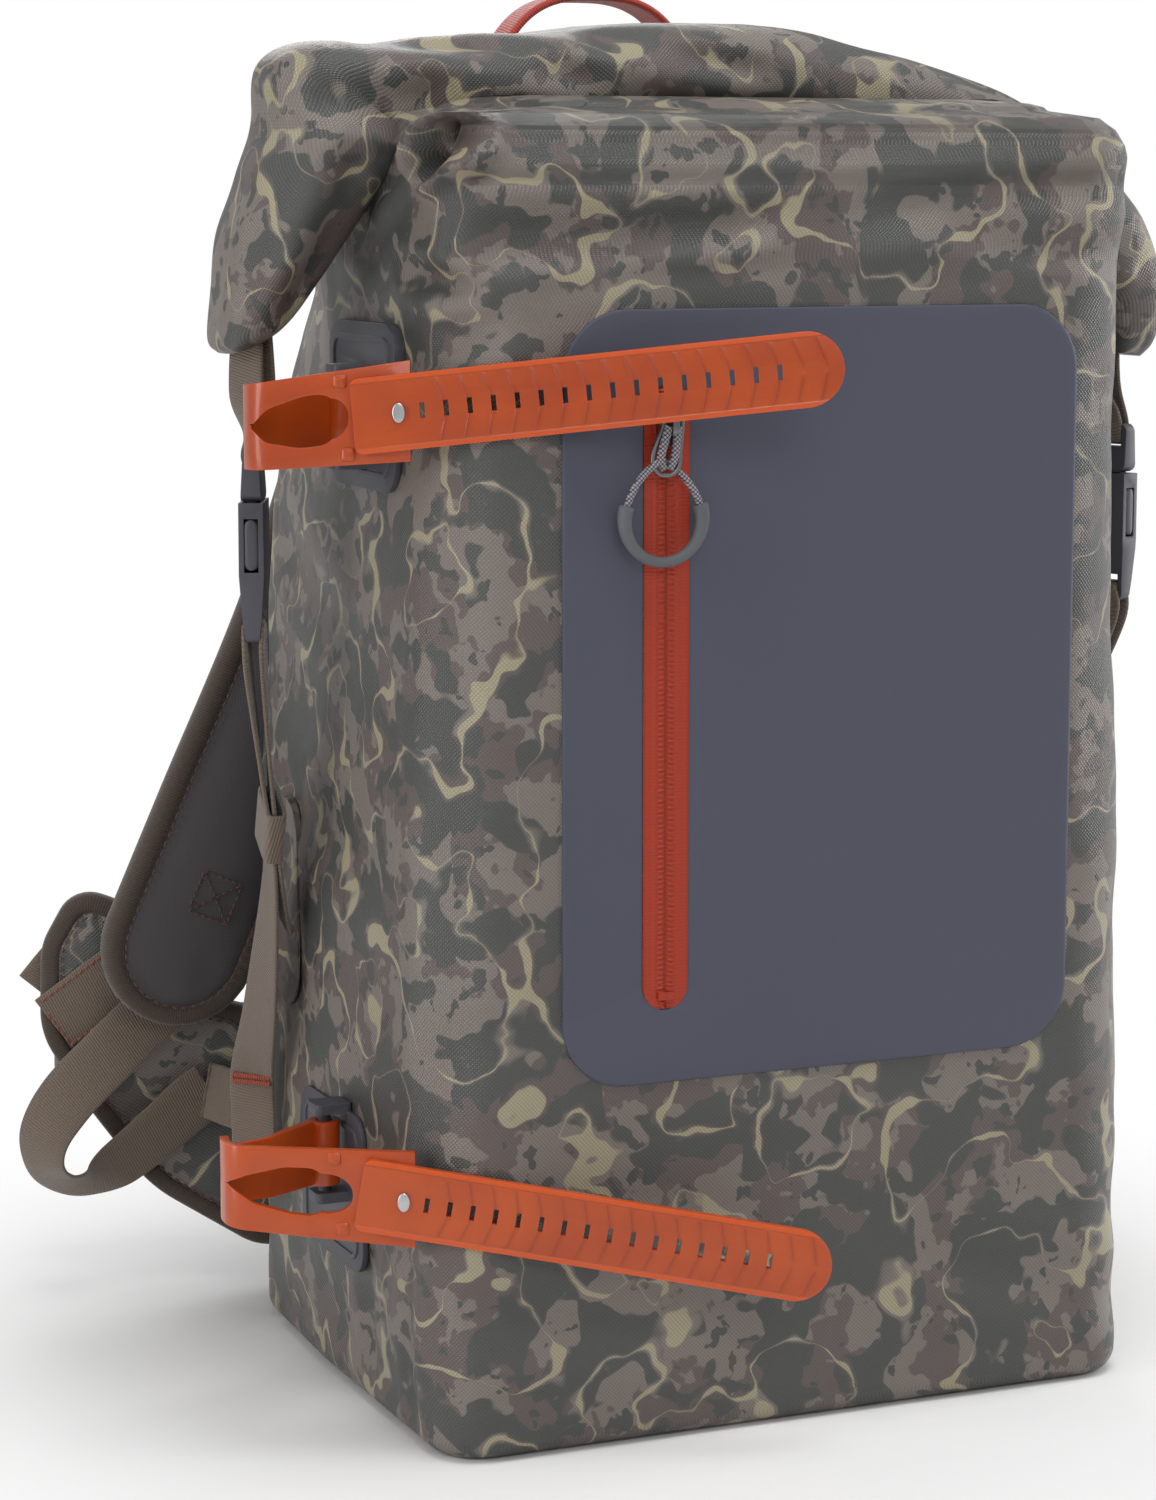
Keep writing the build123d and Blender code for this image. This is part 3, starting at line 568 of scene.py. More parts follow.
def sweep_rings(path, up, profile, closed=False, scale=None):
    """Rings of a flat profile (across, up) carried along a path; scale stretches it at each point."""
    path = np.array(path, float)
    ahead = np.roll(path, -1, 0) - np.roll(path, 1, 0)
    if not closed:
        ahead[0], ahead[-1] = path[1] - path[0], path[-1] - path[-2]
    ahead = unit(ahead)
    side = unit(np.cross(ahead, np.broadcast_to(np.array(up, float), ahead.shape)))
    lift = np.cross(side, ahead)
    profile = np.array(profile, float)
    scale = np.ones((len(path), 2)) if scale is None else np.array(scale, float)
    return (path[:, None] + side[:, None] * (profile[None, :, :1] * scale[:, None, :1])
            + lift[:, None] * (profile[None, :, 1:] * scale[:, None, 1:]))


def band_profile(width, thick):
    """A flat band's section with soft edges."""
    half, edge = width / 2, thick / 2
    top = [(x, edge) for x in np.linspace(half - edge, edge - half, 8)]
    rim = 0.7 * edge
    left = [(edge - half - rim, rim), (-half, 0), (edge - half - rim, -rim)]
    return [(half, 0), (half - edge + rim, rim)] + top + left + [(-x, -y) for x, y in top] + [(half - edge + rim, -rim)]


def oval(half_across, half_up, count=20, power=2.0):
    """A rounded section; a power above 2 makes it boxier."""
    turns = np.arange(count) * math.tau / count
    c, s = np.cos(turns), np.sin(turns)
    return np.stack([np.sign(c) * np.abs(c) ** (2 / power) * half_across,
                     np.sign(s) * np.abs(s) ** (2 / power) * half_up], axis=1)


def webbing(name, points, up, width, thick, per=12):
    """Flat webbing along points, up being the way that its face looks, all along or at each point."""
    profile = band_profile(width, thick)
    facing = np.array(up, float)
    if facing.ndim == 2:
        facing = smooth_line(facing, per)
    return skin(name, sweep_rings(smooth_line(points, per), facing, profile), across=np.array(profile)[:, 0])


def finished(piece, look, body, slot, *nodes):
    """Gives a piece its finish, its body and the frame's nodes that it stands for."""
    piece.data.materials.clear()
    piece.data.materials.append(finish(look))
    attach(piece, body)
    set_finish(piece, slot)
    if nodes:
        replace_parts(piece, *nodes)
    return piece


def run_modifier(piece, kind, **settings):
    """Adds a modifier to the piece and applies it, the piece alone being selected."""
    bpy.ops.object.select_all(action="DESELECT")
    piece.select_set(True)
    bpy.context.view_layer.objects.active = piece
    modifier = piece.modifiers.new(kind.title(), kind)
    for key, value in settings.items():
        setattr(modifier, key, value)
    bpy.ops.object.modifier_apply(modifier=modifier.name)


# faces within the first angle are one flat face, edges over the second are rounded, edges over the third stay sharp
FLAT_ANGLE, EDGE_ANGLE, SHARP_ANGLE = (math.radians(degrees) for degrees in (2, 38, 40))


def moulding(node, look, body, slot, rounding, window=None, taper=None, cuts=()):
    """A moulded part: its frame node's form with its edges rounded.

    A window is cut through it if one is given; a taper is a function that moves an array of points."""
    piece = added(node + "_moulding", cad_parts[node].data.copy())
    with edited(piece) as shape:
        bmesh.ops.remove_doubles(shape, verts=shape.verts, dist=2e-6)
        bmesh.ops.dissolve_limit(shape, angle_limit=FLAT_ANGLE, verts=shape.verts, edges=shape.edges)
        if taper is not None:
            reshape(shape, taper, cuts)
    if window is not None:
        cutter = skin("window_cutter", window)
        cutter.hide_render = True
        run_modifier(piece, "BOOLEAN", object=cutter, operation="DIFFERENCE", solver="EXACT")
        bpy.data.objects.remove(cutter)
    run_modifier(piece, "BEVEL", width=rounding * MM, segments=3, limit_method="ANGLE", angle_limit=EDGE_ANGLE)
    bpy.ops.object.shade_smooth_by_angle(angle=SHARP_ANGLE)
    return finished(piece, look, body, slot, node)


# ---- the bag ----
# height, half widths at the front, side and back, front and back planes, corner radii at the front and back
STATIONS = np.array([
    (0, 146.5, 149, 146, -119, 110, 22, 24),
    (14, 147, 149.5, 146, -119, 110, 22, 24),
    (90, 150.5, 153.5, 148.5, -119, 110, 34, 30),
    (230, 147.5, 150.5, 146, -119, 110, 38, 32),
    (342, 144.5, 147, 143, -119, 110, 38, 34),
    (395, 142, 143.5, 129, -119, 110, 36, 36),
    (430, 140.5, 145, 117, -119, 104, 32, 34),
    (468, 138, 152, 109, -118, 80, 24, 30),
    (484, 138, 155, 106, -115, 54, 16, 24),
    (495, 134, 154, 104, -106, 32, 14, 18),
    (500, 126, 148, 100, -88, 20, 12, 14),
    (501, 112, 140, 92, -60, 8, 10, 10),
    (502, 90, 110, 70, -44, -4, 8, 8),
], float)


def round_corners(corners, radii, arc_steps, side_steps):
    """A closed outline with a fixed number of points on each corner and each side."""
    corners = np.array(corners, float)
    count = len(corners)
    arcs = []
    for i in range(count):
        here, before, after = corners[i], corners[i - 1], corners[(i + 1) % count]
        a, b = unit(before - here), unit(after - here)
        half = math.acos(np.clip(a @ b, -1, 1)) / 2
        centre = here + unit(a + b) * radii[i] / math.sin(half)
        reach = radii[i] / math.tan(half)
        first, last = here + a * reach - centre, here + b * reach - centre
        shares = np.linspace(0, 1, arc_steps[i])[:, None]
        way = unit(first * (1 - shares) + last * shares)
        arcs.append(centre + way * radii[i])
    outline = []
    for i in range(count):
        outline += list(arcs[i])
        start, end = arcs[i][-1], arcs[(i + 1) % count][0]
        outline += [start + (end - start) * t for t in np.linspace(0, 1, side_steps[i] + 2)[1:-1]]
    return np.array(outline)


def bag_ring(z, inset=0.0):
    """The bag's level outline at a height, drawn in by the inset."""
    front, side, back, y_front, y_back, r_front, r_back = [
        np.mean([np.interp(z + d, STATIONS[:, 0], STATIONS[:, k]) for d in (-5, 0, 5)]) for k in range(1, 8)]
    front, side, back, y_front, y_back = front - inset, side - inset, back - inset, y_front + inset, y_back - inset
    y_side = min(30, (y_front + y_back) / 2 + 20)
    lean = 9 * away(z, -400, 462, 30)
    corners = [(-back, y_back), (-side, y_side), (-front - lean, y_front), (front, y_front), (side, y_side),
               (back, y_back)]
    radii = [r_back, 60, r_front, r_front, 60, r_back]
    flat = round_corners(corners, [max(r - inset, 2) for r in radii], [14, 5, 18, 18, 5, 14], [18, 34, 84, 34, 18, 50])
    return np.column_stack([flat, np.full(len(flat), z)])


def away(value, low, high, soft):
    """0 between low and high, rising to 1 over soft outside them."""
    out = np.maximum(low - value, value - high)
    t = np.clip(out / soft, 0, 1)
    return t * t * (3 - 2 * t)


def crease(points, start, end, width, depth, taper=0.0):
    """A fold line's height: a valley from start to end, a soft ridge on each side, narrowing by the taper."""
    start, end = np.array(start, float), np.array(end, float)
    run = end - start
    t = (points - start) @ run / (run @ run)
    share = np.clip(t, 0, 1)
    near = start + share[..., None] * run
    gap = np.linalg.norm(points - near, axis=-1) / (width * (1 - taper * share))
    fade = np.clip(np.minimum(t, 1 - t) * 4 + 0.6, 0, 1)
    return fade * depth * (1 - 0.6 * taper * share) * (0.45 * np.exp(-((gap - 1.8) ** 2) * 1.4) - np.exp(-gap * gap))


def clouds(points, size, seed):
    """Smooth noise from -1 to 1 at each point, its swells about size millimetres wide."""
    shift = Vector((seed * 7.3, seed * 3.1, seed * 5.9))
    flat = points.reshape(-1, 3) / size
    return np.array([noise.noise(Vector(p) + shift) for p in flat]).reshape(points.shape[:-1])


# start, end, width, depth, taper
BAG_FOLDS = [
    ((-137, -114, 492), (-148, -92, 468), 7.5, 19, 0.55),
    ((-138, -119, 449), (-20, -119, 457), 9, 5.5, 0.3),
    ((-100, -119, 436), (10, -119, 440), 10, 2.4, 0.3),
    ((-90, -119, 478), (60, -117, 484), 9, 2.6, 0.2),
    ((20, -119, 462), (136, -118, 470), 10, 2.8, 0.2),
    ((-150, -70, 440), (-132, -119, 432), 6, 5.0, 0.3),
    ((-148, -20, 400), (-128, -119, 418), 9, 2.4, 0.2),
    ((138, -119, 440), (60, -119, 452), 9, 2.2, 0.3),
    ((-148, -40, 20), (-152, -60, 120), 7, 2.0, 0.2),
    ((-147, -85, 14), (-151, -96, 110), 6, 1.8, 0.2),
    ((-140, -119, 60), (-60, -119, 40), 12, 2.2, 0.2),
    ((60, -119, 60), (148, -110, 30), 12, 2.4, 0.2),
    ((148, -60, 60), (152, 40, 36), 12, 2.2, 0.2),
    ((-148, 60, 60), (-148, -20, 30), 12, 1.8, 0.2),
    ((150, -20, 300), (146, 60, 330), 14, 2.0, 0.2),
    ((-150, -20, 300), (-146, 70, 330), 14, 2.4, 0.2),
    ((-150, -60, 210), (-150, 40, 232), 14, 2.6, 0.2),
    ((-149, -100, 250), (-148, -50, 268), 10, 2.2, 0.2),
]


def tuck_in(rings):
    """Draws the left side's cloth in above its fold, so that it gathers behind the front's corner."""
    x, y, z = rings[..., 0], rings[..., 1], rings[..., 2]
    fold = np.interp(y, [-108, -50, -30, 20], [489, 458, 444, 436])
    over = away(z - fold, -900, 0, 15)
    reach = np.clip((y + 104) * 1.5, 0, 36) * (1 - away(y, -400, -74, 34))
    rings[..., 0] += over * reach * away(-x, -400, 70, 45)
    lip = np.exp(-(((z - fold + 3) / 5) ** 2)) * away(-x, -400, 120, 15)
    lip *= away(y, -400, -108, 12) * (1 - away(y, -400, -30, 30))
    rings[..., 0] -= 2.6 * lip


# where the lash plates hold the cloth still: from and to in height, then from front to back
LASH_SPOTS = [(54, 120, -50, 22), (357, 420, -74, 0)]


def bag_cloth():
    """The welded shell: level rings from the rounded base up into the roll, slack between its flat panels."""
    slack = sizes().slack / MM
    rings = []
    for z in list(np.linspace(0.4, 9, 7)) + list(np.linspace(12, 430, 130)) + list(np.linspace(431.5, 502, 48)):
        inset = 9 - math.sqrt(81 - (9 - z) ** 2) if z < 9 else 0
        rings.append(bag_ring(z, inset))
    rings = np.array(rings)
    x, y, z = rings[..., 0], rings[..., 1], rings[..., 2]
    ahead = unit(np.roll(rings, -1, 1) - np.roll(rings, 1, 1))
    outward = unit(np.cross(ahead, (0, 0, 1)))
    if (outward[40] * rings[40]).sum() < 0:
        outward = -outward
    loose = np.maximum(away(x, -102, 114, 16), np.maximum(away(y, -200, -112, 8), away(z, 137, 427, 16)))
    inboard = away(-abs(x), -200, -138, 8)
    for low, high, front, back in LASH_SPOTS:
        loose = np.minimum(loose, np.maximum(away(z, low, high, 12), np.maximum(away(y, front, back, 12), inboard)))
    loose *= np.clip((z - 2) / 14, 0, 1) * (1 - 0.75 * np.clip((y - 96) / 10, 0, 1))
    push = slack * (1.1 * clouds(rings, 90, 1) + 0.55 * clouds(rings * (1, 1, 1.6), 38, 2))
    top = np.clip((z - 400) / 60, 0, 1)
    push += top * slack * 0.9 * clouds(rings * (0.6, 1, 1.4), 26, 3)
    for fold in BAG_FOLDS:
        push += crease(rings, *fold)
    rings += outward * (push * loose)[..., None]
    tuck_in(rings)
    bottom = [rings[0] * (s, s, 0) + (0, 0, 0.3) for s in (0.05, 0.4, 0.8, 0.96)]
    piece = skin("bag_cloth", list(bottom) + list(rings))
    return finished(piece, "camo", "bag", "camo_fabric", "bag_body", "base_tray")


# middle across and up, the way the outer face looks in degrees, half thickness, half width, shift back
ROLL_ROWS = [
    (-188, 410, 200, 8, 15, 0),
    (-186, 414, 200, 13, 21, 0),
    (-183, 421, 199, 16.5, 25, 0),
    (-177, 437, 196, 21, 29, -2),
    (-168, 458, 192, 26, 33, -3),
    (-158, 477, 189, 29, 34, -3),
    (-153, 491, 176, 27, 34, -2),
    (-152, 500, 150, 29, 34, -1),
    (-146, 502, 118, 22, 34, 0),
    (-137, 502, 104, 19, 34, 0),
    (-118, 505, 96, 17.5, 33.5, 0),
    (-84, 508, 93, 17.5, 33, -1),
    (-40, 512, 91, 18, 33.5, -2),
    (-10, 513, 89, 18, 33, -1),
    (35, 510, 84, 17.5, 33, 0),
    (80, 501, 76, 17, 33, 1),
    (118, 490, 68, 17, 33, 0),
    (146, 474, 52, 17.5, 33, 0),
    (170, 452, 34, 18, 32, 0),
    (182, 430, 10, 17, 30, 0),
    (186, 414, -4, 14, 26, 0),
    (187, 406, -6, 11, 22, 0),
    (187, 401, -8, 7, 16, 0),
]


def roll_cloth():
    """The rolled mouth and its two ears, bent down to the closures."""
    rows = smooth_line(ROLL_ROWS, 16)
    section = oval(1, 1, 110, 2.7)
    rings = []
    for x, z, turn, thick, wide, back in rows:
        turn = math.radians(turn)
        out = np.array((math.cos(turn), 0, math.sin(turn)))
        flat = section[:, :1] * wide * np.array((0, 1, 0)) + section[:, 1:] * thick * out
        rings.append(np.array((x, -20 + back, z)) + flat)
    rings = np.array(rings)
    middle = rings.mean(axis=1, keepdims=True)
    outward = unit(rings - middle)
    push = 1.3 * clouds(rings, 46, 4) + 0.8 * clouds(rings * (1, 0.5, 1), 20, 5)
    for fold in ROLL_FOLDS:
        push += crease(rings, *fold)
    place = np.arange(len(rows))
    push *= np.clip(np.minimum(place, place[::-1]) / 8, 0, 1)[:, None]
    rings += outward * push[..., None]
    piece = skin("roll_cloth", rings)
    return finished(piece, "camo", "bag", "camo_fabric", "rolled_mouth")


# start, end, width, depth, taper
ROLL_FOLDS = [
    ((-178, -34, 511), (-160, -52, 490), 2.2, 1.3, 0.0),
    ((-160, -52, 490), (-144, -54, 480), 2.2, 1.2, 0.0),
    ((-160, -52, 490), (-183, -50, 462), 2.2, 0.9, 0.4),
    ((-152, -53, 480), (-176, -48, 420), 8, 4.0, 0.2),
    ((-184, -46, 450), (-190, -30, 414), 6, 2.6, 0.2),
    ((-172, -50, 500), (-120, -54, 500), 10, 3.2, 0.3),
    ((-130, -40, 522), (-60, -52, 508), 7, 3.2, 0.2),
    ((-60, -50, 524), (10, -52, 512), 6, 2.4, 0.2),
    ((20, -20, 530), (120, -46, 500), 6, 2.2, 0.2),
    ((182, -48, 440), (188, -20, 405), 6, 2.0, 0.2),
]


def pocket_cloth():
    """The laminated pocket panel, a slit along its zip."""
    steps, sides = [12] * 4, [70, 90, 70, 90]
    edges = (-100, 112, 139, 425, 25), (ZIP_X - 9.25, ZIP_X + 9.25, ZIP_LOW, ZIP_HIGH, 9.1)
    outer, inner = (round_corners([(x0, z0), (x1, z0), (x1, z1), (x0, z1)], [radius] * 4, steps, sides)
                    for x0, x1, z0, z1, radius in edges)
    shares = np.concatenate([(0, 0.004, 0.012), np.linspace(0.03, 0.96, 44), (0.985, 1)])[:, None]
    proud = np.concatenate([(-0.3, 0.9, 1.25), np.full(44, 1.3), (1.25, 0.6)])[:, None]
    flat = outer * (1 - shares[..., None]) + inner * shares[..., None]
    rings = np.stack([flat[..., 0], np.broadcast_to(FRONT - proud, flat.shape[:2]), flat[..., 1]], axis=-1)
    wave = np.clip(np.minimum(shares * 6, (1 - shares) * 5), 0, 1)
    rings[..., 1] -= wave * (0.35 * clouds(rings, 60, 6) + 0.3)
    piece = skin("pocket_cloth", rings, lids=(False, False))
    return finished(piece, "slate", "bag", "slate_fabric", "pocket_panel")


# ---- zip ----
COIL_PITCH = 1.9


def zip_tape():
    """The coated tape with the coil's two rows of bumps showing through it."""
    xs = np.linspace(-9.2, 9.2, 48)
    zs = np.arange(ZIP_LOW + 0.2, ZIP_HIGH - 0.1, 0.3)
    x, z = np.meshgrid(xs, zs)
    rows = np.exp(-(((np.abs(x) - 1.95) / 1.15) ** 4))
    bumps = 0.5 + 0.5 * np.cos(math.tau * (z / COIL_PITCH + 0.25 * np.sign(x) + 0.06 * np.abs(x)))
    seam, cord = np.exp(-((x / 0.55) ** 2)), np.exp(-(((np.abs(x) - 4.4) / 0.7) ** 2))
    height = 0.9 + 0.75 * rows * bumps - 0.5 * seam + 0.35 * cord
    end = np.clip((z - ZIP_LOW) / 9.2, 0, 1)
    x = x * np.sqrt(1 - (1 - end) ** 2 * 0.92)
    rings = np.stack([x + ZIP_X, FRONT - height, z], axis=-1)
    piece = skin("zip_cloth", rings[:, ::-1], closed=False)
    return finished(piece, "zip", "bag", "zip_orange", "zip_tape_left", "zip_tape_right", "zip_coil")


# the middle of the ring pull, and the radius of the sleeve's bend
PULL_RING = np.array((-63.5, -127.2, 349.5))
SLEEVE_RADIUS = 15.4


def pull_ring():
    """The shackle, the cord through it and the sleeve round the ring's lower part."""
    line = smooth_line([(-3.2, 387), (-4.6, 382), (-7.6, 374.5), (-8.0, 369.5), (-6.0, 366.2), (-2.8, 365.3),
                        (0.4, 366.2), (2.4, 369.5), (2.6, 374.5), (3.3, 381), (3.2, 387), (0, 388)], 8, True)
    path = np.column_stack([line[:, 0] + ZIP_X, np.full(len(line), -125.6), line[:, 1]])
    shackle = skin("zip_shackle", sweep_rings(path, (0, -1, 0), oval(0.9, 0.75, 12, 2.4), True), loop=True)
    finished(shackle, "gunmetal", "zip_pull", "dark_metal", "zip_puller")
    turns = np.radians(np.linspace(160, 380, 60))
    path = PULL_RING + SLEEVE_RADIUS * np.column_stack([np.cos(turns), np.zeros(60), np.sin(turns)])
    share = np.abs(np.linspace(-1, 1, 60))
    ends = (0.76 + 0.36 * share ** 1.6) * np.where(share > 0.99, 0.88, 1)
    grip = skin("pull_sleeve", sweep_rings(path, (0, -1, 0), oval(2.6, 2.6, 18), False, np.column_stack([ends, ends])))
    finished(grip, "grip", "zip_pull", "grey_rubber", "pull_grip")
    side, level = 14.47, 5.27
    points = [(-side, 0, level), (2 - side, 0, level + 5), (-8.3, 0, 16.4), (-2.2, 0, 21),
              (2.2, 4.3, 21), (8.6, 4.3, 16.4), (side - 2, 0, level + 5), (side, 0, level)]
    curve = bpy.data.curves.new("pull_cord_line", "CURVE")
    curve.dimensions = "3D"
    spline = curve.splines.new("NURBS")
    spline.points.add(len(points) - 1)
    for place, (x, y, z) in zip(spline.points, points):
        place.co = (*(PULL_RING + (x, y, z)) * MM, 1)
    spline.order_u = 3
    spline.use_endpoint_u = True
    curve.bevel_depth = 0.0013
    curve.bevel_resolution = 4
    curve.resolution_u = 10
    cord = added("pull_cord_line", curve)
    cord.data.materials.append(finish("braid"))
    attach(cord, "zip_pull")
    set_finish(cord, "grey_cord")
    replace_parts(cord, "pull_cord")
    for side in (-1, 1):
        strand = smooth_line([(-61.6 + side * 1.2, -125.2, 367.6), (-61.5 + side * 2.7, -126.0, 371.5),
                              (-60.6 + side * 2.4, -126.4, 377), (-59.4 + side * 1.7, -126.6, 383)], 6)
        rings = sweep_rings(strand, (0, -1, 0), oval(1.6, 1.5, 12))
        hitch = skin("pull_hitch_" + ("left" if side < 0 else "right"), rings)
        finished(hitch, "braid", "zip_pull", "grey_cord")


# ---- gear straps, plates and closures ----
GEAR_ALONG, GEAR_OUT = np.array((SLANT_X, -SLANT_Y, 0)), np.array((-SLANT_Y, -SLANT_X, 0))
# where the hooks are along the straps, and how far the drawing of the windows starts before them
HOOK_AT, WINDOW_BACK = -104, 14
# how far out each strap's front is, and its height
GEAR_ROOTS = {"upper": (152.8, 384), "lower": (156.6, 101)}
# how much a buckle's front climbs with its tail, how much longer it is than its frame node, and how much higher
LOOP_RISE = {"upper": (math.tan(math.radians(6.0)), 0, 5), "lower": (math.tan(math.radians(-5.0)), 12, 0)}
# the tails' slopes in degrees, the share by which a raised tail climbs with each millimetre, and a hook's narrowing
TAIL_SLOPES = {"upper": 6.0, "lower": -9.5}
TAIL_CLIMB, HOOK_NARROWING = 0.0035, 0.36


def gear_lay(level):
    """The plane of a gear strap's tail: its hook at the origin, its slots along the first axis."""
    face, z = GEAR_ROOTS[level]
    slope = math.radians(TAIL_SLOPES[level])
    along = GEAR_ALONG * math.cos(slope) + UP * math.sin(slope)
    hook = GEAR_ALONG * HOOK_AT + GEAR_OUT * (face + 3.5) + UP * (z + LOOP_RISE[level][2])
    return hook, along, np.cross(GEAR_OUT, along)


# a window's outline from its point at the bend round to the hook, along and across the strap
WINDOW_CORNERS = {
    "upper": [(-39.5, 0), (-33, 6), (-20, 9.2), (-6.6, 9.3), (-6.6, -9.3), (-22, -9.2), (-34, -6)],
    "lower": [(-52, 0), (-44, 4), (-30, 8.4), (-12.4, 9.3), (-12.4, -9.3), (-27, -9.2), (-41, -6.5)],
}


def loop_shape(level):
    """Turns a buckle's front with its tail, narrows it towards its bend and draws the bend out."""
    face, middle = GEAR_ROOTS[level]
    rise, longer, raised = LOOP_RISE[level]

    def taper(places):
        along, deep = places @ GEAR_ALONG - HOOK_AT, places @ GEAR_OUT
        front = np.interp(deep, [face - 60, face - 16], [0, 1])
        bend = np.interp(deep, [face - 44, face - 16], [0, 1]) * np.interp(along, [-48, -16], [1, 0])
        narrow = 1 - front * np.interp(along, [-60, -8], [0.17, 0])
        height = middle + (places[:, 2] - middle) * narrow + (along * rise + raised) * front
        out = places - GEAR_ALONG * (longer * bend)[:, None]
        out[:, 2] = height
        return out
    return taper


def hook_shape(level):
    """Narrows a hook's round head to an upright oval and raises it with its buckle's front."""
    def taper(places):
        along = places @ GEAR_ALONG - HOOK_AT
        return places - GEAR_ALONG * (along * HOOK_NARROWING)[:, None] + UP * LOOP_RISE[level][2]
    return taper


def tail_shape(level):
    """Raises a tail with its buckle's front, a little more towards its tip."""
    raised = LOOP_RISE[level][2]

    def taper(places):
        along = places @ GEAR_ALONG - HOOK_AT
        return places + UP * (raised * (1 + along * TAIL_CLIMB))[:, None]
    return taper


def loop_window(level):
    """The cutter for a buckle's window: pointed at the bend, round at the hook."""
    face, z = GEAR_ROOTS[level]
    outline = round_corners(WINDOW_CORNERS[level], [1.2, 8, 16, 9, 9, 16, 8], [4, 5, 5, 10, 10, 5, 5], [2] * 7)
    rise, _, raised = LOOP_RISE[level]
    origin = GEAR_ALONG * (HOOK_AT - WINDOW_BACK) + UP * z
    lift = outline[:, 1:] + (outline[:, :1] - WINDOW_BACK) * rise + raised
    ring = origin + outline[:, :1] * GEAR_ALONG + lift * UP
    return [ring + GEAR_OUT * (face + depth) for depth in (-10, 8)]


def loop_bosses(level):
    """Two small square bosses moulded on a buckle beside its window."""
    face, z = GEAR_ROOTS[level]
    square = round_corners([(-2.3, -2.3), (2.3, -2.3), (2.3, 2.3), (-2.3, 2.3)], [0.8] * 4, [4] * 4, [1] * 4)
    shift = 0 if level == "upper" else -4.5
    rise, _, raised = LOOP_RISE[level]
    for number, (x, up) in enumerate(((-7.0, 13.2), (-4.2, -13.2))):
        x += shift - WINDOW_BACK
        middle = GEAR_ALONG * (HOOK_AT + x) + UP * (z + up + raised + x * rise)
        rings = [middle + GEAR_OUT * (face + deep) + size * (square[:, :1] * GEAR_ALONG + square[:, 1:] * UP)
                 for deep, size in ((1.2, 1.08), (1.8, 1.03), (2.2, 0.9))]
        boss = skin(f"loop_boss_{level}_{number}", rings)
        finished(boss, "amber", "gear_loop_" + level, "orange_rubber")


def lay_flat(piece, lay):
    """Maps a flat piece's cloth measures onto its own plane."""
    origin, along, across = lay
    mesh = piece.data
    points = vectors(mesh.vertices, "co") - origin * MM
    flat = np.stack([points @ along, points @ across], axis=1)
    corners = np.empty(len(mesh.loops), np.int32)
    mesh.loops.foreach_get("vertex_index", corners)
    layer = mesh.uv_layers.new(name="cloth")
    layer.data.foreach_set("uv", flat[corners].astype(np.float32).ravel())


def reshape(shape, taper, cuts):
    """Cuts a mesh into level slices, so that it can bend, and moves its points by the taper."""
    for z in cuts:
        everything = shape.verts[:] + shape.edges[:] + shape.faces[:]
        bmesh.ops.bisect_plane(shape, geom=everything, plane_co=(0, 0, z * MM), plane_no=(0, 0, 1))
    places = np.array([vert.co for vert in shape.verts]) / MM
    for vert, place in zip(shape.verts, taper(places)):
        vert.co = Vector(place * MM)


CLIP_CUTS = (286, 290, 296, 302, 308, 341, 346, 351, 356)


def clip_height(z):
    """Where a level of the frame's closure comes in the visual one, which sits higher and is a little shorter."""
    return 352.5 + (z - 338) * 0.913


def clip_taper(places):
    """Slims a closure, narrows it towards its tail and its webbing bar, and sets it higher and a little shorter."""
    side = np.sign(places[:, 0])
    out = np.stack([side * SLANT_X, np.full(len(side), SLANT_Y), side * 0], axis=1)
    middle = np.stack([side * CLIP_X, np.full(len(side), CLIP_Y), places[:, 2]], axis=1)
    off = np.sum((places - middle) * out, axis=1)
    narrow = np.interp(places[:, 2], [280, 290, 308, 330, 340, 352, 362], [0.44, 0.62, 0.82, 0.82, 0.80, 0.66, 0.56])
    moved = places + out * (off * (narrow - 1))[:, None]
    moved[:, 2] = clip_height(places[:, 2])
    return moved


def clip_arm(side):
    """The sprung arm's rounded side, seen in the socket's edge window."""
    sign = -1 if side == "left" else 1
    out, across = np.array((sign * SLANT_X, SLANT_Y, 0)), np.array((sign * SLANT_Y, -SLANT_X, 0))
    slot = round_corners([(-3.2, -9.6), (3.2, -9.6), (3.2, 9.6), (-3.2, 9.6)], [3.1] * 4, [7] * 4, [0, 5, 0, 5])
    middle = np.array((sign * CLIP_X, CLIP_Y, clip_height(320.5)))
    for number, facing in enumerate((-across, across)):
        rings = [middle + facing * deep + size * slot[:, :1] * out + (slot[:, 1:] * (0.95 + 0.05 * size)) * UP
                 for deep, size in ((8, 1.0), (11.6, 1.0), (12.9, 0.86), (13.5, 0.6), (13.7, 0.3))]
        finished(skin(f"clip_arm_{side}_{number}", rings), "plastic", "bag", "dark_plastic")


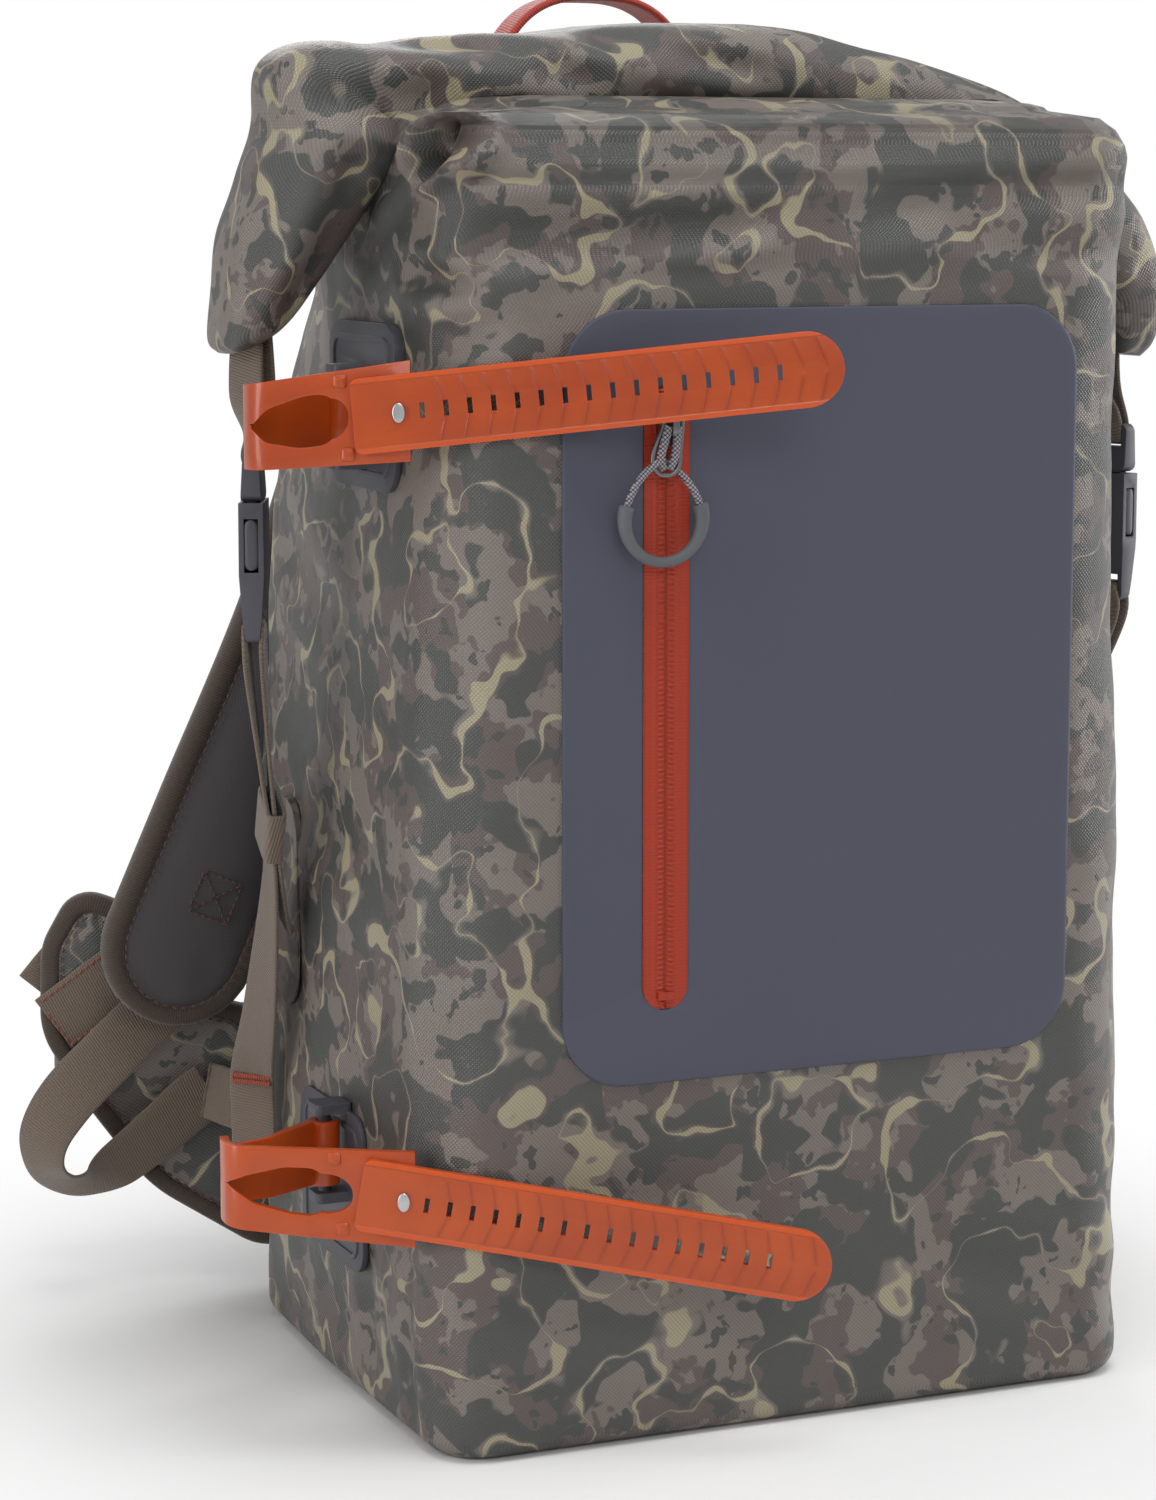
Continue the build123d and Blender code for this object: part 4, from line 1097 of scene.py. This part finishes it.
def mouldings():
    """Plates, clips, buckles and moulded straps, each with rounded edges."""
    for level in ("upper", "lower"):
        for side in ("left", "right"):
            moulding(f"lash_plate_{level}_{side}", "plastic", "bag", "dark_plastic", 0.7)
        moulding("gear_loop_" + level, "amber", "gear_loop_" + level, "orange_rubber", 0.8, loop_window(level),
                 loop_shape(level))
        loop_bosses(level)
        tail = moulding("gear_tail_" + level, "ribbed amber", "gear_tail_" + level, "orange_rubber", 0.5,
                        taper=tail_shape(level))
        lay_flat(tail, gear_lay(level))
        moulding("gear_hook_" + level, "steel", "gear_tail_" + level, "steel", 0.5, taper=hook_shape(level))
    for side in ("left", "right"):
        for half, body, rounding in (("male_", "bag", 1.2), ("female_", "clip_" + side, 1.6)):
            moulding("clip_" + half + side, "plastic", body, "dark_plastic", rounding, taper=clip_taper, cuts=CLIP_CUTS)
        clip_arm(side)
        moulding("ladder_lock_" + side, "plastic", "strap_" + side, "dark_plastic", 0.7)
    moulding("belt_socket", "plastic", "wing_left", "dark_plastic", 1.2)
    moulding("belt_plug", "plastic", "wing_right", "dark_plastic", 1.0)
    moulding("zip_slider", "gunmetal", "zip_slider", "dark_metal", 0.35)
    kept = {"zip_stops": "zip", "mouth_stiffener": "plastic", "frame_sheet": "plastic", "side_patches": "camo"}
    for node, look in kept.items():
        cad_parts[node].data.materials.clear()
        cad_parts[node].data.materials.append(finish(look))


# ---- webbing ----
CLIP_OUT = np.array((-SLANT_X, SLANT_Y, 0))
SIDE_MIDDLE = np.array((-167, 15, 208))
SIDE_FOOT = np.array((-161.5, 56, 86))


def mirrored(piece, body):
    """The right-hand twin of a left-hand piece, standing for the right-hand nodes."""
    twin = added(piece.name.replace("_left", "_right"), piece.data.copy())
    with edited(twin) as shape:
        for vert in shape.verts:
            vert.co.x = -vert.co.x
        bmesh.ops.reverse_faces(shape, faces=shape.faces)
    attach(twin, body)
    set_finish(twin, piece["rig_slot"])
    nodes = [node.replace("_left", "_right") for node in piece.get("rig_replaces", [])]
    if nodes:
        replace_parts(twin, *nodes)
    return twin


def webbing_pair(name, line, facing, width, thick, body, *nodes):
    """Brown webbing on the left and its twin on the right."""
    left = finished(webbing(name, line, facing, width, thick), "webbing", body, "brown_webbing", *nodes)
    return left, mirrored(left, body.replace("_left", "_right"))


def turned(degrees):
    """The way a webbing's face looks when it is turned by so much towards the front."""
    turn = math.radians(157.2 + degrees)
    return np.array((math.cos(turn), math.sin(turn), 0))


def side_webbings():
    """Webbing from each closure down to its foot: doubled through a keeper, with a folded end, then single."""
    top, n = np.array((-CLIP_X, CLIP_Y, clip_height(272))), CLIP_OUT
    down = unit(SIDE_MIDDLE - top)
    high, keep, low, foot = turned(8), turned(16), turned(22), turned(66)
    end = SIDE_MIDDLE + down * 30
    between = (SIDE_MIDDLE + top) / 2
    line = [end - low * 4.6 - down * 1, end - low * 3.0 + down * 1.2, end - low * 2.0 - down * 6,
            SIDE_MIDDLE - keep * 1.6, between - high * 2.0, top - n * 3.1, top - n * 3.0 + UP * 10,
            top - n * 2.2 + UP * 13.7, top + UP * 15, top + n * 2.2 + UP * 13.7, top + n * 3.0 + UP * 10,
            top + n * 3.1, between + high * 1.6, SIDE_MIDDLE + keep * 0.6,
            (SIDE_MIDDLE + SIDE_FOOT) / 2 + low * 1.5, SIDE_FOOT + foot * 3.5 + UP * 28,
            SIDE_FOOT + foot * 3.3 + UP * 10, SIDE_FOOT + foot * 3.0 - UP * 6]
    facing = [low * 0.3 + down, -low, -low, -keep, -high, -n, -n, UP * 0.7 - n * 0.7, UP, UP * 0.7 + n * 0.7, n, n,
              high, keep, unit(low + foot), foot, foot, foot]
    pair = webbing_pair("side_web_left", line, facing, SIDE_WIDTH, 1.7, "bag", "side_webbing_left")
    for piece, joint in zip(pair, ("clip_left_release", "clip_right_release")):
        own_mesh(piece)
    middle = SIDE_MIDDLE - down * 17
    across = unit(np.cross(down, keep))
    ring = oval(11.2, 3.3, 36, 6)
    path = middle - keep * 0.5 + ring[:, :1] * across + ring[:, 1:] * keep
    out = unit(ring[:, :1] ** 5 * across / 11.2 ** 6 + ring[:, 1:] ** 5 * keep / 3.3 ** 6)
    profile = band_profile(22, 1.6)
    rings = sweep_rings(path, out, profile, True)
    keeper = skin("web_sleeve_left", rings, loop=True, across=np.array(profile)[:, 0])
    mirrored(finished(keeper, "webbing", "bag", "brown_webbing", "web_keeper_left"), "bag")
    tab_top = turned(40)
    line = [top + tab_top * 2.1 + UP * 122, top + tab_top * 3.0 + UP * 98, top + n * 2.6 + UP * 81,
            top + n * 2.0 + UP * 74, top + UP * 72.6, top - n * 2.0 + UP * 74, top - n * 2.6 + UP * 81,
            top - tab_top * 3.0 + UP * 98, top - tab_top * 2.1 + UP * 122]
    facing = [tab_top, tab_top, n, n * 0.7 - UP * 0.7, -UP, -n * 0.7 - UP * 0.7, -n, -tab_top, -tab_top]
    webbing_pair("closure_tab_left", line, facing, SIDE_WIDTH, 1.7, "bag", "webbing_tab_left")
    hidden = SIDE_FOOT + np.array((4, 4, 0))
    webbing_pair("web_foot_left", [hidden + UP * 2, hidden - UP * 9, hidden - UP * 22], unit(foot - (0.6, 0, 0)), 19,
                 2.6, "bag", "side_anchor_left")
    across = unit(np.cross(UP, foot))
    rows = []
    for height in (9, 11.4):
        middle = SIDE_FOOT + foot * 4.5 + UP * (14 + height)
        rows += [(middle + across * s, middle + across * (s + 0.5) + UP * 2.4) for s in np.arange(-8.6, 8.6, 1.1)]
    mirrored(stitches("web_bartack_left", rows, foot, "bag", 0.7, "bartack"), "bag")


def stitches(name, pairs, up, body, radius=0.45, look="thread"):
    """Short raised threads, each from one point to the next of its pair."""
    verts, faces = [], []
    up = np.array(up, float)
    for start, end in pairs:
        start, end = np.array(start, float), np.array(end, float)
        run = unit(end - start)
        side = unit(np.cross(run, up))
        lift = np.cross(side, run)
        first = len(verts)
        for share, size in ((0, 0.35), (0.2, 0.95), (0.5, 1.15), (0.8, 0.95), (1, 0.35)):
            middle = start + (end - start) * share
            for turn in np.arange(6) * math.tau / 6:
                verts.append((middle + (side * math.cos(turn) + lift * math.sin(turn)) * radius * size) * MM)
        for i in range(4):
            for j in range(6):
                k = (j + 1) % 6
                ring = first + i * 6
                faces.append([ring + j, ring + k, ring + 6 + k, ring + 6 + j])
        faces.append([first + j for j in range(6)][::-1])
        faces.append([first + 24 + j for j in range(6)])
    mesh = bpy.data.meshes.new(name)
    mesh.from_pydata([tuple(v) for v in verts], [], faces)
    smooth_faces(mesh)
    piece = added(name, mesh)
    face_outwards(piece)
    return finished(piece, look, body, "brown_webbing")


def running_stitch(line, pitch=4.2, stitch=2.9):
    """Pairs of points along a line for one stitch after another."""
    line = np.array(line, float)
    gone = np.concatenate([[0], np.cumsum(np.linalg.norm(np.diff(line, axis=0), axis=1))])

    def at(distance):
        return np.array([np.interp(distance, gone, line[:, k]) for k in range(3)])

    return [(at(s), at(s + stitch)) for s in np.arange(0, gone[-1] - stitch, pitch)]


# ---- harness ----
class Lay:
    """A flat place in space on which outlines are drawn."""

    def __init__(self, origin, along, up):
        self.origin, self.along, self.up = (np.array(v, float) for v in (origin, along, up))
        self.out = np.cross(self.along, self.up)

    def place(self, flat, proud=0.0):
        flat = np.array(flat, float)
        return self.origin + flat[:, :1] * self.along + flat[:, 1:2] * self.up + self.out * proud


STRAP_LAY = Lay((0, 127, 0), (1, 0, 0), (0, 0, 1))
STRAP_LINE = smooth_line([(-66, 425), (-80, 378), (-110, 290), (-148, 206), (-172, 153)], 14)
# the way out of the wing's back
WING_BACK = np.array((0.27564, 0.96126, 0))
WING_LAY = Lay((-104, 132.2, 0), (-WING_BACK[1], WING_BACK[0], 0), (0, 0, 1))
WING_CORNERS = [(0, 26), (28, 13), (78, 44), (104, 80), (123, 112), (122, 150), (108, 175), (88, 168), (60, 128),
                (0, 112)]
WING_RADII = [7, 20, 60, 60, 30, 24, 10, 14, 20, 7]


def band_outline(line, half):
    """The closed outline of a band with round ends."""
    ahead = unit(np.gradient(line, axis=0))
    side = np.stack([-ahead[:, 1], ahead[:, 0]], axis=1)
    turns = np.linspace(0, math.pi, 16)[1:-1, None]
    last = line[-1] + half * (side[-1] * np.cos(turns) + ahead[-1] * np.sin(turns))
    first = line[0] + half * (-side[0] * np.cos(turns) - ahead[0] * np.sin(turns))
    return np.concatenate([line + side * half, last, (line - side * half)[::-1], first])


def wing_outline(inset):
    """The wing's outline drawn in by the inset, its corners rounded."""
    corners = np.array(WING_CORNERS, float)
    ahead = np.roll(corners, -1, 0)
    before, after = corners - np.roll(corners, 1, 0), ahead - corners
    turn = np.sign(np.sum(corners[:, 0] * ahead[:, 1] - corners[:, 1] * ahead[:, 0]))
    first, second = (unit(np.stack([-e[:, 1], e[:, 0]], axis=1)) * turn for e in (before, after))
    both = first + second
    moved = corners + both * inset / (1 + np.sum(first * second, axis=1))[:, None]
    return round_corners(moved, WING_RADII, [9] * len(corners), [8] * len(corners))


# the voxels that a pad is made even with, in metres; the air's pressure; the frames until it has settled;
# and how far a rim's faces may look along the pad's normal
PAD_VOXEL, AIR_PRESSURE, SETTLE_FRAMES, RIM_FACING = 0.004, 4, 20, 0.45


def sewn_pad(name, node, look, body, slot, cap, normal, form=None):
    """A padded piece: its frame node's form, or one given, blown up a little between its held edges."""
    piece = form or added(name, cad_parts[node].data.copy())
    with edited(piece) as shape:
        bmesh.ops.remove_doubles(shape, verts=shape.verts, dist=1e-6)
    run_modifier(piece, "REMESH", mode="VOXEL", voxel_size=PAD_VOXEL)
    run_modifier(piece, "SMOOTH", factor=0.5, iterations=3)
    blow_up(piece, cap * MM, normal)
    run_modifier(piece, "SUBSURF", levels=1, render_levels=1)
    smooth_faces(piece.data)
    finished(piece, look, body, slot, node)
    return piece


def blow_up(piece, cap, normal):
    """Swells the piece by a cloth simulation with air in it, its rim held and no point moved past the cap."""
    mesh = piece.data
    rim = piece.vertex_groups.new(name="rim")
    held = np.nonzero(np.abs(vectors(mesh.vertices, "normal") @ np.array(normal, float)) < RIM_FACING)[0]
    rim.add([int(i) for i in held], 1.0, "REPLACE")
    before = vectors(mesh.vertices, "co")
    cloth = piece.modifiers.new("Air", "CLOTH")
    cloth.settings.use_pressure = True
    cloth.settings.uniform_pressure_force = AIR_PRESSURE
    cloth.settings.effector_weights.gravity = 0
    cloth.settings.vertex_group_mass = "rim"
    cloth.settings.quality = 5
    scene = bpy.context.scene
    for step in range(1, SETTLE_FRAMES + 1):
        scene.frame_set(step)
    shown = piece.evaluated_get(bpy.context.evaluated_depsgraph_get())
    move = vectors(shown.data.vertices, "co") - before
    size = np.linalg.norm(move, axis=1, keepdims=True)
    share = size / cap
    move *= np.minimum(1, cap / np.maximum(size, 1e-9)) * np.tanh(share) / np.maximum(np.minimum(share, 1), 1e-6)
    piece.modifiers.remove(cloth)
    piece.vertex_groups.remove(rim)
    mesh.vertices.foreach_set("co", (before + move).ravel())
    mesh.update()
    scene.frame_set(1)


def binding(name, outline, lay, half_wide, half_thick, body, node):
    """Knitted binding folded over a pad's edge, all the way round."""
    path = lay.place(outline)
    rings = sweep_rings(path, lay.out, oval(half_wide, half_thick, 18, 2.8), True)
    piece = skin(name, rings, loop=True)
    return finished(piece, "binding", body, "grey_cord", node)


def rim_stitches(outline, lay, proud):
    """Running stitches round a closed outline on both faces of a pad."""
    rim = np.append(outline, outline[:1], axis=0)
    return running_stitch(lay.place(rim, proud)) + running_stitch(lay.place(rim, -proud))


def straps():
    """The shoulder straps: soft pads with bound edges, stitched rims and a crossed box of stitches."""
    left = sewn_pad("strap_cushion_left", "strap_pad_left", "lining", "strap_left", "slate_fabric", 4.0, (0, 1, 0))
    mirrored(left, "strap_right")
    edge = binding("strap_edge_left", band_outline(STRAP_LINE, 29.2), STRAP_LAY, 4.6, 6.3, "strap_left",
                   "strap_binding_left")
    mirrored(edge, "strap_right")
    rows = rim_stitches(band_outline(STRAP_LINE, 25.2), STRAP_LAY, 6.6)
    mirrored(stitches("strap_stitching_left", rows, (0, 1, 0), "strap_left"), "strap_right")
    middle, turn = np.array((-158.5, 174)), math.radians(-24)
    along, over = np.array((math.cos(turn), math.sin(turn))), np.array((-math.sin(turn), math.cos(turn)))
    a, b, c, d = (middle + along * x + over * z for x, z in ((-9, -9), (9, -9), (9, 9), (-9, 9)))
    rows = []
    for line in ((a, b, c, d, a), (a, c), (b, d)):
        rows += running_stitch(STRAP_LAY.place(np.array(line), 8.4), 3.2, 2.4)
    mirrored(stitches("strap_box_left", rows, (0, 1, 0), "strap_left"), "strap_right")


def wings():
    """The hip wings: padded camo cloth with bound edges, and the belt's webbing round behind them."""
    outline = wing_outline(4.0)
    form = skin("wing_cushion_left", [WING_LAY.place(outline, proud) for proud in (-4.6, 4.6)])
    left = sewn_pad("wing_cushion_left", "belt_wing_left", "camo_pad", "wing_left", "camo_fabric", 4.0,
                    WING_LAY.out, form)
    mirrored(left, "wing_right")
    edge = binding("wing_edge_left", outline, WING_LAY, 4.4, 5.4, "wing_left", "wing_binding_left")
    mirrored(edge, "wing_right")
    rows = rim_stitches(wing_outline(8.2), WING_LAY, 5.6)
    mirrored(stitches("wing_stitching_left", rows, WING_LAY.out, "wing_left"), "wing_right")
    line = [(117.5, 117), (102, 128.5), (84, 142)]
    webbing_pair("wing_flap_left", WING_LAY.place(line, -6.4), -WING_LAY.out, 26, 1.8, "wing_left")
    rows = [(110, 108), (83, 127.8)], [(122, 127.3), (94, 148)], [(111, 109), (121.4, 123)]
    rows = [pair for row in rows for pair in running_stitch(WING_LAY.place(row, -7.6), 3.2, 2.2)]
    mirrored(stitches("wing_flap_stitching_left", rows, -WING_LAY.out, "wing_left", 0.4, "bartack"), "wing_right")
    tail = WING_LAY.place([(102, 153), (114, 145.5), (126.5, 131)], 7.0)
    webbing_pair("wing_tail_left", tail, WING_LAY.out, 14, 1.6, "wing_left")
    w, b = WING_LAY.along, WING_BACK
    route = (84, 6), (100, 6.2), (112, 7), (117, 13), (115, 22), (106, 28), (90, 31), (60, 31.5), (30, 31)
    spine = [WING_LAY.origin + w * along + b * back + UP * 97 for along, back in route]
    facing = [-b, -b, -b + w * 0.8, w, w * 0.9 + b * 0.4, w * 0.3 + b, b, b, b]
    webbing_pair("belt_web_left", spine, facing, BELT_WIDTH, 1.7, "wing_left", "belt_webbing_left")


def back_panel():
    """The yoke, the mesh back pads and the lumbar pad."""
    sewn_pad("yoke_cushion", "yoke", "lining", "bag", "slate_fabric", 3.0, (0, 1, 0))
    left = sewn_pad("back_cushion_left", "back_pad_left", "mesh", "bag", "slate_fabric", 4.0, (0, 1, 0))
    mirrored(left, "bag")
    sewn_pad("lumbar_cushion", "lumbar_pad", "mesh", "bag", "slate_fabric", 5.0, (0, 1, 0))


def adjusters():
    """The adjuster webbing: out of each strap's buckle, round in a loose bend, and back to its sewn tab."""
    line = [(-176, 136, 127), (-187, 136.2, 119), (-203, 136, 105), (-219, 136.2, 90), (-229, 136.6, 75),
            (-229.5, 138, 62), (-222, 140.5, 53), (-210, 141, 51), (-197, 139, 58), (-180, 136.6, 71), (-166, 136, 82),
            (-157, 136, 88)]
    facing = [(-0.1, -1, 0.1), (-0.1, -1, 0.1), (-0.2, -1, 0.2), (-0.4, -0.9, 0.3), (-0.8, -0.7, 0.1),
              (-0.9, -0.5, -0.3), (-0.4, -0.5, -0.9), (0.1, -0.7, -0.8), (0.15, -1, -0.3), (0.1, -1, -0.1), (0, -1, 0),
              (0, -1, 0)]
    left, right = webbing_pair("adjuster_left", line, facing, STRAP_WIDTH, 1.6, "bag", "lower_webbing_left")
    for piece, side, sign in ((left, "strap_left", -1), (right, "strap_right", 1)):
        piece.parent = None
        sign * 0.160
        sign * 0.178
        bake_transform(piece)
    line = [(-142, 106, 84), (-149, 119, 85.5), (-156.5, 134.2, 87), (-159, 136, 87.5)]
    facing = [(-0.85, -0.4, 0.3), (-0.8, -0.5, 0.3), (-0.4, -0.9, 0.1), (0, -1, 0)]
    webbing_pair("adjuster_tab_left", line, facing, STRAP_WIDTH - 1, 2.6, "bag", "lower_tab_left")


def hand_loop():
    """The hand loop over the yoke."""
    turns = np.linspace(math.pi, 0, 28)
    half, back, base, rise = 49, 94, 477, 69
    arch = [(half * np.sign(math.cos(t)) * abs(math.cos(t)) ** 0.72, back, base + rise * max(math.sin(t), 0) ** 0.86)
            for t in turns]
    feet = [(-half, back, base - 10), (-half, back, base - 5), (half, back, base - 5), (half, back, base - 10)]
    arch = feet[:2] + arch + feet[2:]
    facing = [(-1, 0, 0)] * 2 + [(math.cos(t) / 48, 0, math.sin(t) / 70) for t in turns] + [(1, 0, 0)] * 2
    piece = webbing("hand_loop", arch, unit(np.array(facing, float)), HANDLE_WIDTH, 3.0, per=4)
    return finished(piece, "handle", "handle", "orange_webbing", "haul_handle")


# ---- stage ----
# how strongly the sky lights the pack; it is seen at full strength, and about a third of that in shiny surfaces
SKY_LIGHT = 0.34
FLOOR_FADE = (0.16, 0.46)
LENS_PLACE, LENS_TARGET = Vector((-0.6082, -1.3408, 0.4665)), Vector((-0.04349, 0.00009, 0.24646))


def stage():
    """A white floor that runs out into a white ground, soft lamps and the camera."""
    scene = bpy.context.scene
    bpy.ops.mesh.primitive_plane_add(size=8, location=(0, 0, 0))
    floor = bpy.context.active_object
    floor.name = "floor"
    f = Finish("floor paint")
    x, y, _ = f.parts(f.object_place())
    far = ((x * x + y * y) ** 0.5).step(*FLOOR_FADE)
    grain = f.noise(f.object_place(), 0.004, 2.0)
    white = f.mix(grain, (0.93, 0.93, 0.93), (0.91, 0.91, 0.91))
    paint = f.node("BsdfPrincipled", None, Base_Color=white, Roughness=0.8)
    glow = f.node("Emission", None, Color=(1, 1, 1), Strength=1.0)
    seen = f.node("LightPath")
    both = f.node("MixShader", None, seen * far, paint, glow)
    f.tree.links.new(both.socket, f.tree.nodes.new("ShaderNodeOutputMaterial").inputs[0])
    floor.data.materials.append(f.material)
    world = bpy.data.worlds.new("studio")
    scene.world = world
    world.use_nodes = True
    w = Finish.__new__(Finish)
    w.tree = world.node_tree
    w.tree.nodes.clear()
    straight = w.node("LightPath")
    shiny = w.node("LightPath", None, output=3)
    strength = w.node("MapRange", None, straight.most(shiny * 0.35), 0.0, 1.0, SKY_LIGHT, 1.0)
    sky = w.node("Background", None, (1, 1, 1), strength)
    w.tree.links.new(sky.socket, w.tree.nodes.new("ShaderNodeOutputWorld").inputs[0])
    for name, place, wide, tall, power in STUDIO_LAMPS:
        lamp = bpy.data.lights.new(name, "AREA")
        lamp.shape = "RECTANGLE"
        lamp.size, lamp.size_y = wide, tall
        lamp.energy = power
        holder = added(name, lamp)
        holder.location = place
        holder.rotation_euler = (Vector((0, 0, 0.28)) - Vector(place)).to_track_quat("-Z", "Y").to_euler()
    lens = bpy.data.cameras.new("camera")
    lens.sensor_width = 36
    lens.lens = 88.52
    camera = added("camera", lens)
    camera.location = LENS_PLACE
    camera.rotation_euler = (LENS_TARGET - LENS_PLACE).to_track_quat("-Z", "Y").to_euler()
    scene.camera = camera
    scene.view_settings.view_transform = "Standard"


# name, place, width, height, watts
STUDIO_LAMPS = [
    ("left softbox", (-1.8, -0.3, 0.55), 0.6, 1.5, 13),
    ("front softbox", (-0.3, -2.6, 1.7), 1.5, 0.9, 15),
    ("right softbox", (1.7, 0.0, 0.55), 0.5, 1.5, 13),
    ("top softbox", (0.1, -0.6, 2.0), 1.3, 0.7, 17),
    ("back softbox", (0.3, 1.9, 1.5), 1.2, 1.0, 12),
]


# ---- operators ----
class PACK_OT_stage(bpy.types.Operator):
    """Adds the floor, the lamps and the camera."""
    bl_idname = "pack.stage"
    bl_label = "Stage"

    def execute(self, context):
        stage()
        return {"FINISHED"}


class PACK_OT_pull(bpy.types.Operator):
    """Makes the shackle, the cord loop and its sleeve."""
    bl_idname = "pack.pull"
    bl_label = "Zip pull"

    def execute(self, context):
        pull_ring()
        return {"FINISHED"}


class PACK_OT_bag(bpy.types.Operator):
    """Makes the bag's cloth, with its folds."""
    bl_idname = "pack.bag"
    bl_label = "Bag"

    def execute(self, context):
        bag_cloth()
        return {"FINISHED"}


class PACK_OT_roll(bpy.types.Operator):
    """Makes the rolled mouth and its two ears."""
    bl_idname = "pack.roll"
    bl_label = "Rolled mouth"

    def execute(self, context):
        roll_cloth()
        return {"FINISHED"}


class PACK_OT_pocket(bpy.types.Operator):
    """Makes the welded pocket panel."""
    bl_idname = "pack.pocket"
    bl_label = "Front pocket"

    def execute(self, context):
        pocket_cloth()
        return {"FINISHED"}


class PACK_OT_zip(bpy.types.Operator):
    """Makes the coated tape with the coil under it."""
    bl_idname = "pack.zip"
    bl_label = "Zip tape"

    def execute(self, context):
        zip_tape()
        return {"FINISHED"}


class PACK_OT_mouldings(bpy.types.Operator):
    """Makes the plates, gear straps, closures and buckles."""
    bl_idname = "pack.mouldings"
    bl_label = "Moulded parts"

    def execute(self, context):
        mouldings()
        return {"FINISHED"}


class PACK_OT_webbing(bpy.types.Operator):
    """Makes the closures' webbing, keepers and sewn feet."""
    bl_idname = "pack.webbing"
    bl_label = "Side webbing"

    def execute(self, context):
        side_webbings()
        return {"FINISHED"}


class PACK_OT_straps(bpy.types.Operator):
    """Makes the padded shoulder straps."""
    bl_idname = "pack.straps"
    bl_label = "Shoulder straps"

    def execute(self, context):
        straps()
        return {"FINISHED"}


class PACK_OT_wings(bpy.types.Operator):
    """Makes the padded hip wings and the belt webbing."""
    bl_idname = "pack.wings"
    bl_label = "Hip wings"

    def execute(self, context):
        wings()
        return {"FINISHED"}


class PACK_OT_back(bpy.types.Operator):
    """Makes the yoke and the back pads."""
    bl_idname = "pack.back"
    bl_label = "Back panel"

    def execute(self, context):
        back_panel()
        return {"FINISHED"}


class PACK_OT_adjusters(bpy.types.Operator):
    """Makes the adjuster webbing below each strap."""
    bl_idname = "pack.adjusters"
    bl_label = "Strap adjusters"

    def execute(self, context):
        adjusters()
        return {"FINISHED"}


class PACK_OT_handle(bpy.types.Operator):
    """Makes the hand loop."""
    bl_idname = "pack.handle"
    bl_label = "Hand loop"

    def execute(self, context):
        hand_loop()
        return {"FINISHED"}


OPERATORS = (
    PACK_OT_stage, PACK_OT_pull, PACK_OT_bag, PACK_OT_roll, PACK_OT_pocket,
    PACK_OT_zip, PACK_OT_mouldings, PACK_OT_webbing, PACK_OT_straps, PACK_OT_wings,
    PACK_OT_back, PACK_OT_adjusters, PACK_OT_handle,
)


class PACK_PT_backpack(bpy.types.Panel):
    """Lists the backpack's colours, sizes and pieces."""
    bl_idname = "PACK_PT_backpack"
    bl_label = "Backpack"
    bl_space_type = "VIEW_3D"
    bl_region_type = "UI"
    bl_category = "Backpack"

    def draw(self, context):
        for settings in (colours(), sizes()):
            box = self.layout.box()
            for key in type(settings).__annotations__:
                box.prop(settings, key)
        for operator in OPERATORS:
            self.layout.operator(operator.bl_idname)


CLASSES = (PackColours, PackSizes, *OPERATORS, PACK_PT_backpack)


def register():
    """Registers the settings, the operators and the panel."""
    for kind in CLASSES:
        bpy.utils.register_class(kind)
    bpy.types.Scene.pack_colours = PointerProperty(type=PackColours)
    bpy.types.Scene.pack_sizes = PointerProperty(type=PackSizes)


def unregister():
    """Takes them all away again."""
    del bpy.types.Scene.pack_sizes
    del bpy.types.Scene.pack_colours
    for kind in reversed(CLASSES):
        bpy.utils.unregister_class(kind)


def main():
    """Makes every piece in order."""
    register()
    for operator in OPERATORS:
        group, name = operator.bl_idname.split(".")
        getattr(getattr(bpy.ops, group), name)()


if __name__ == "__main__":
    main()
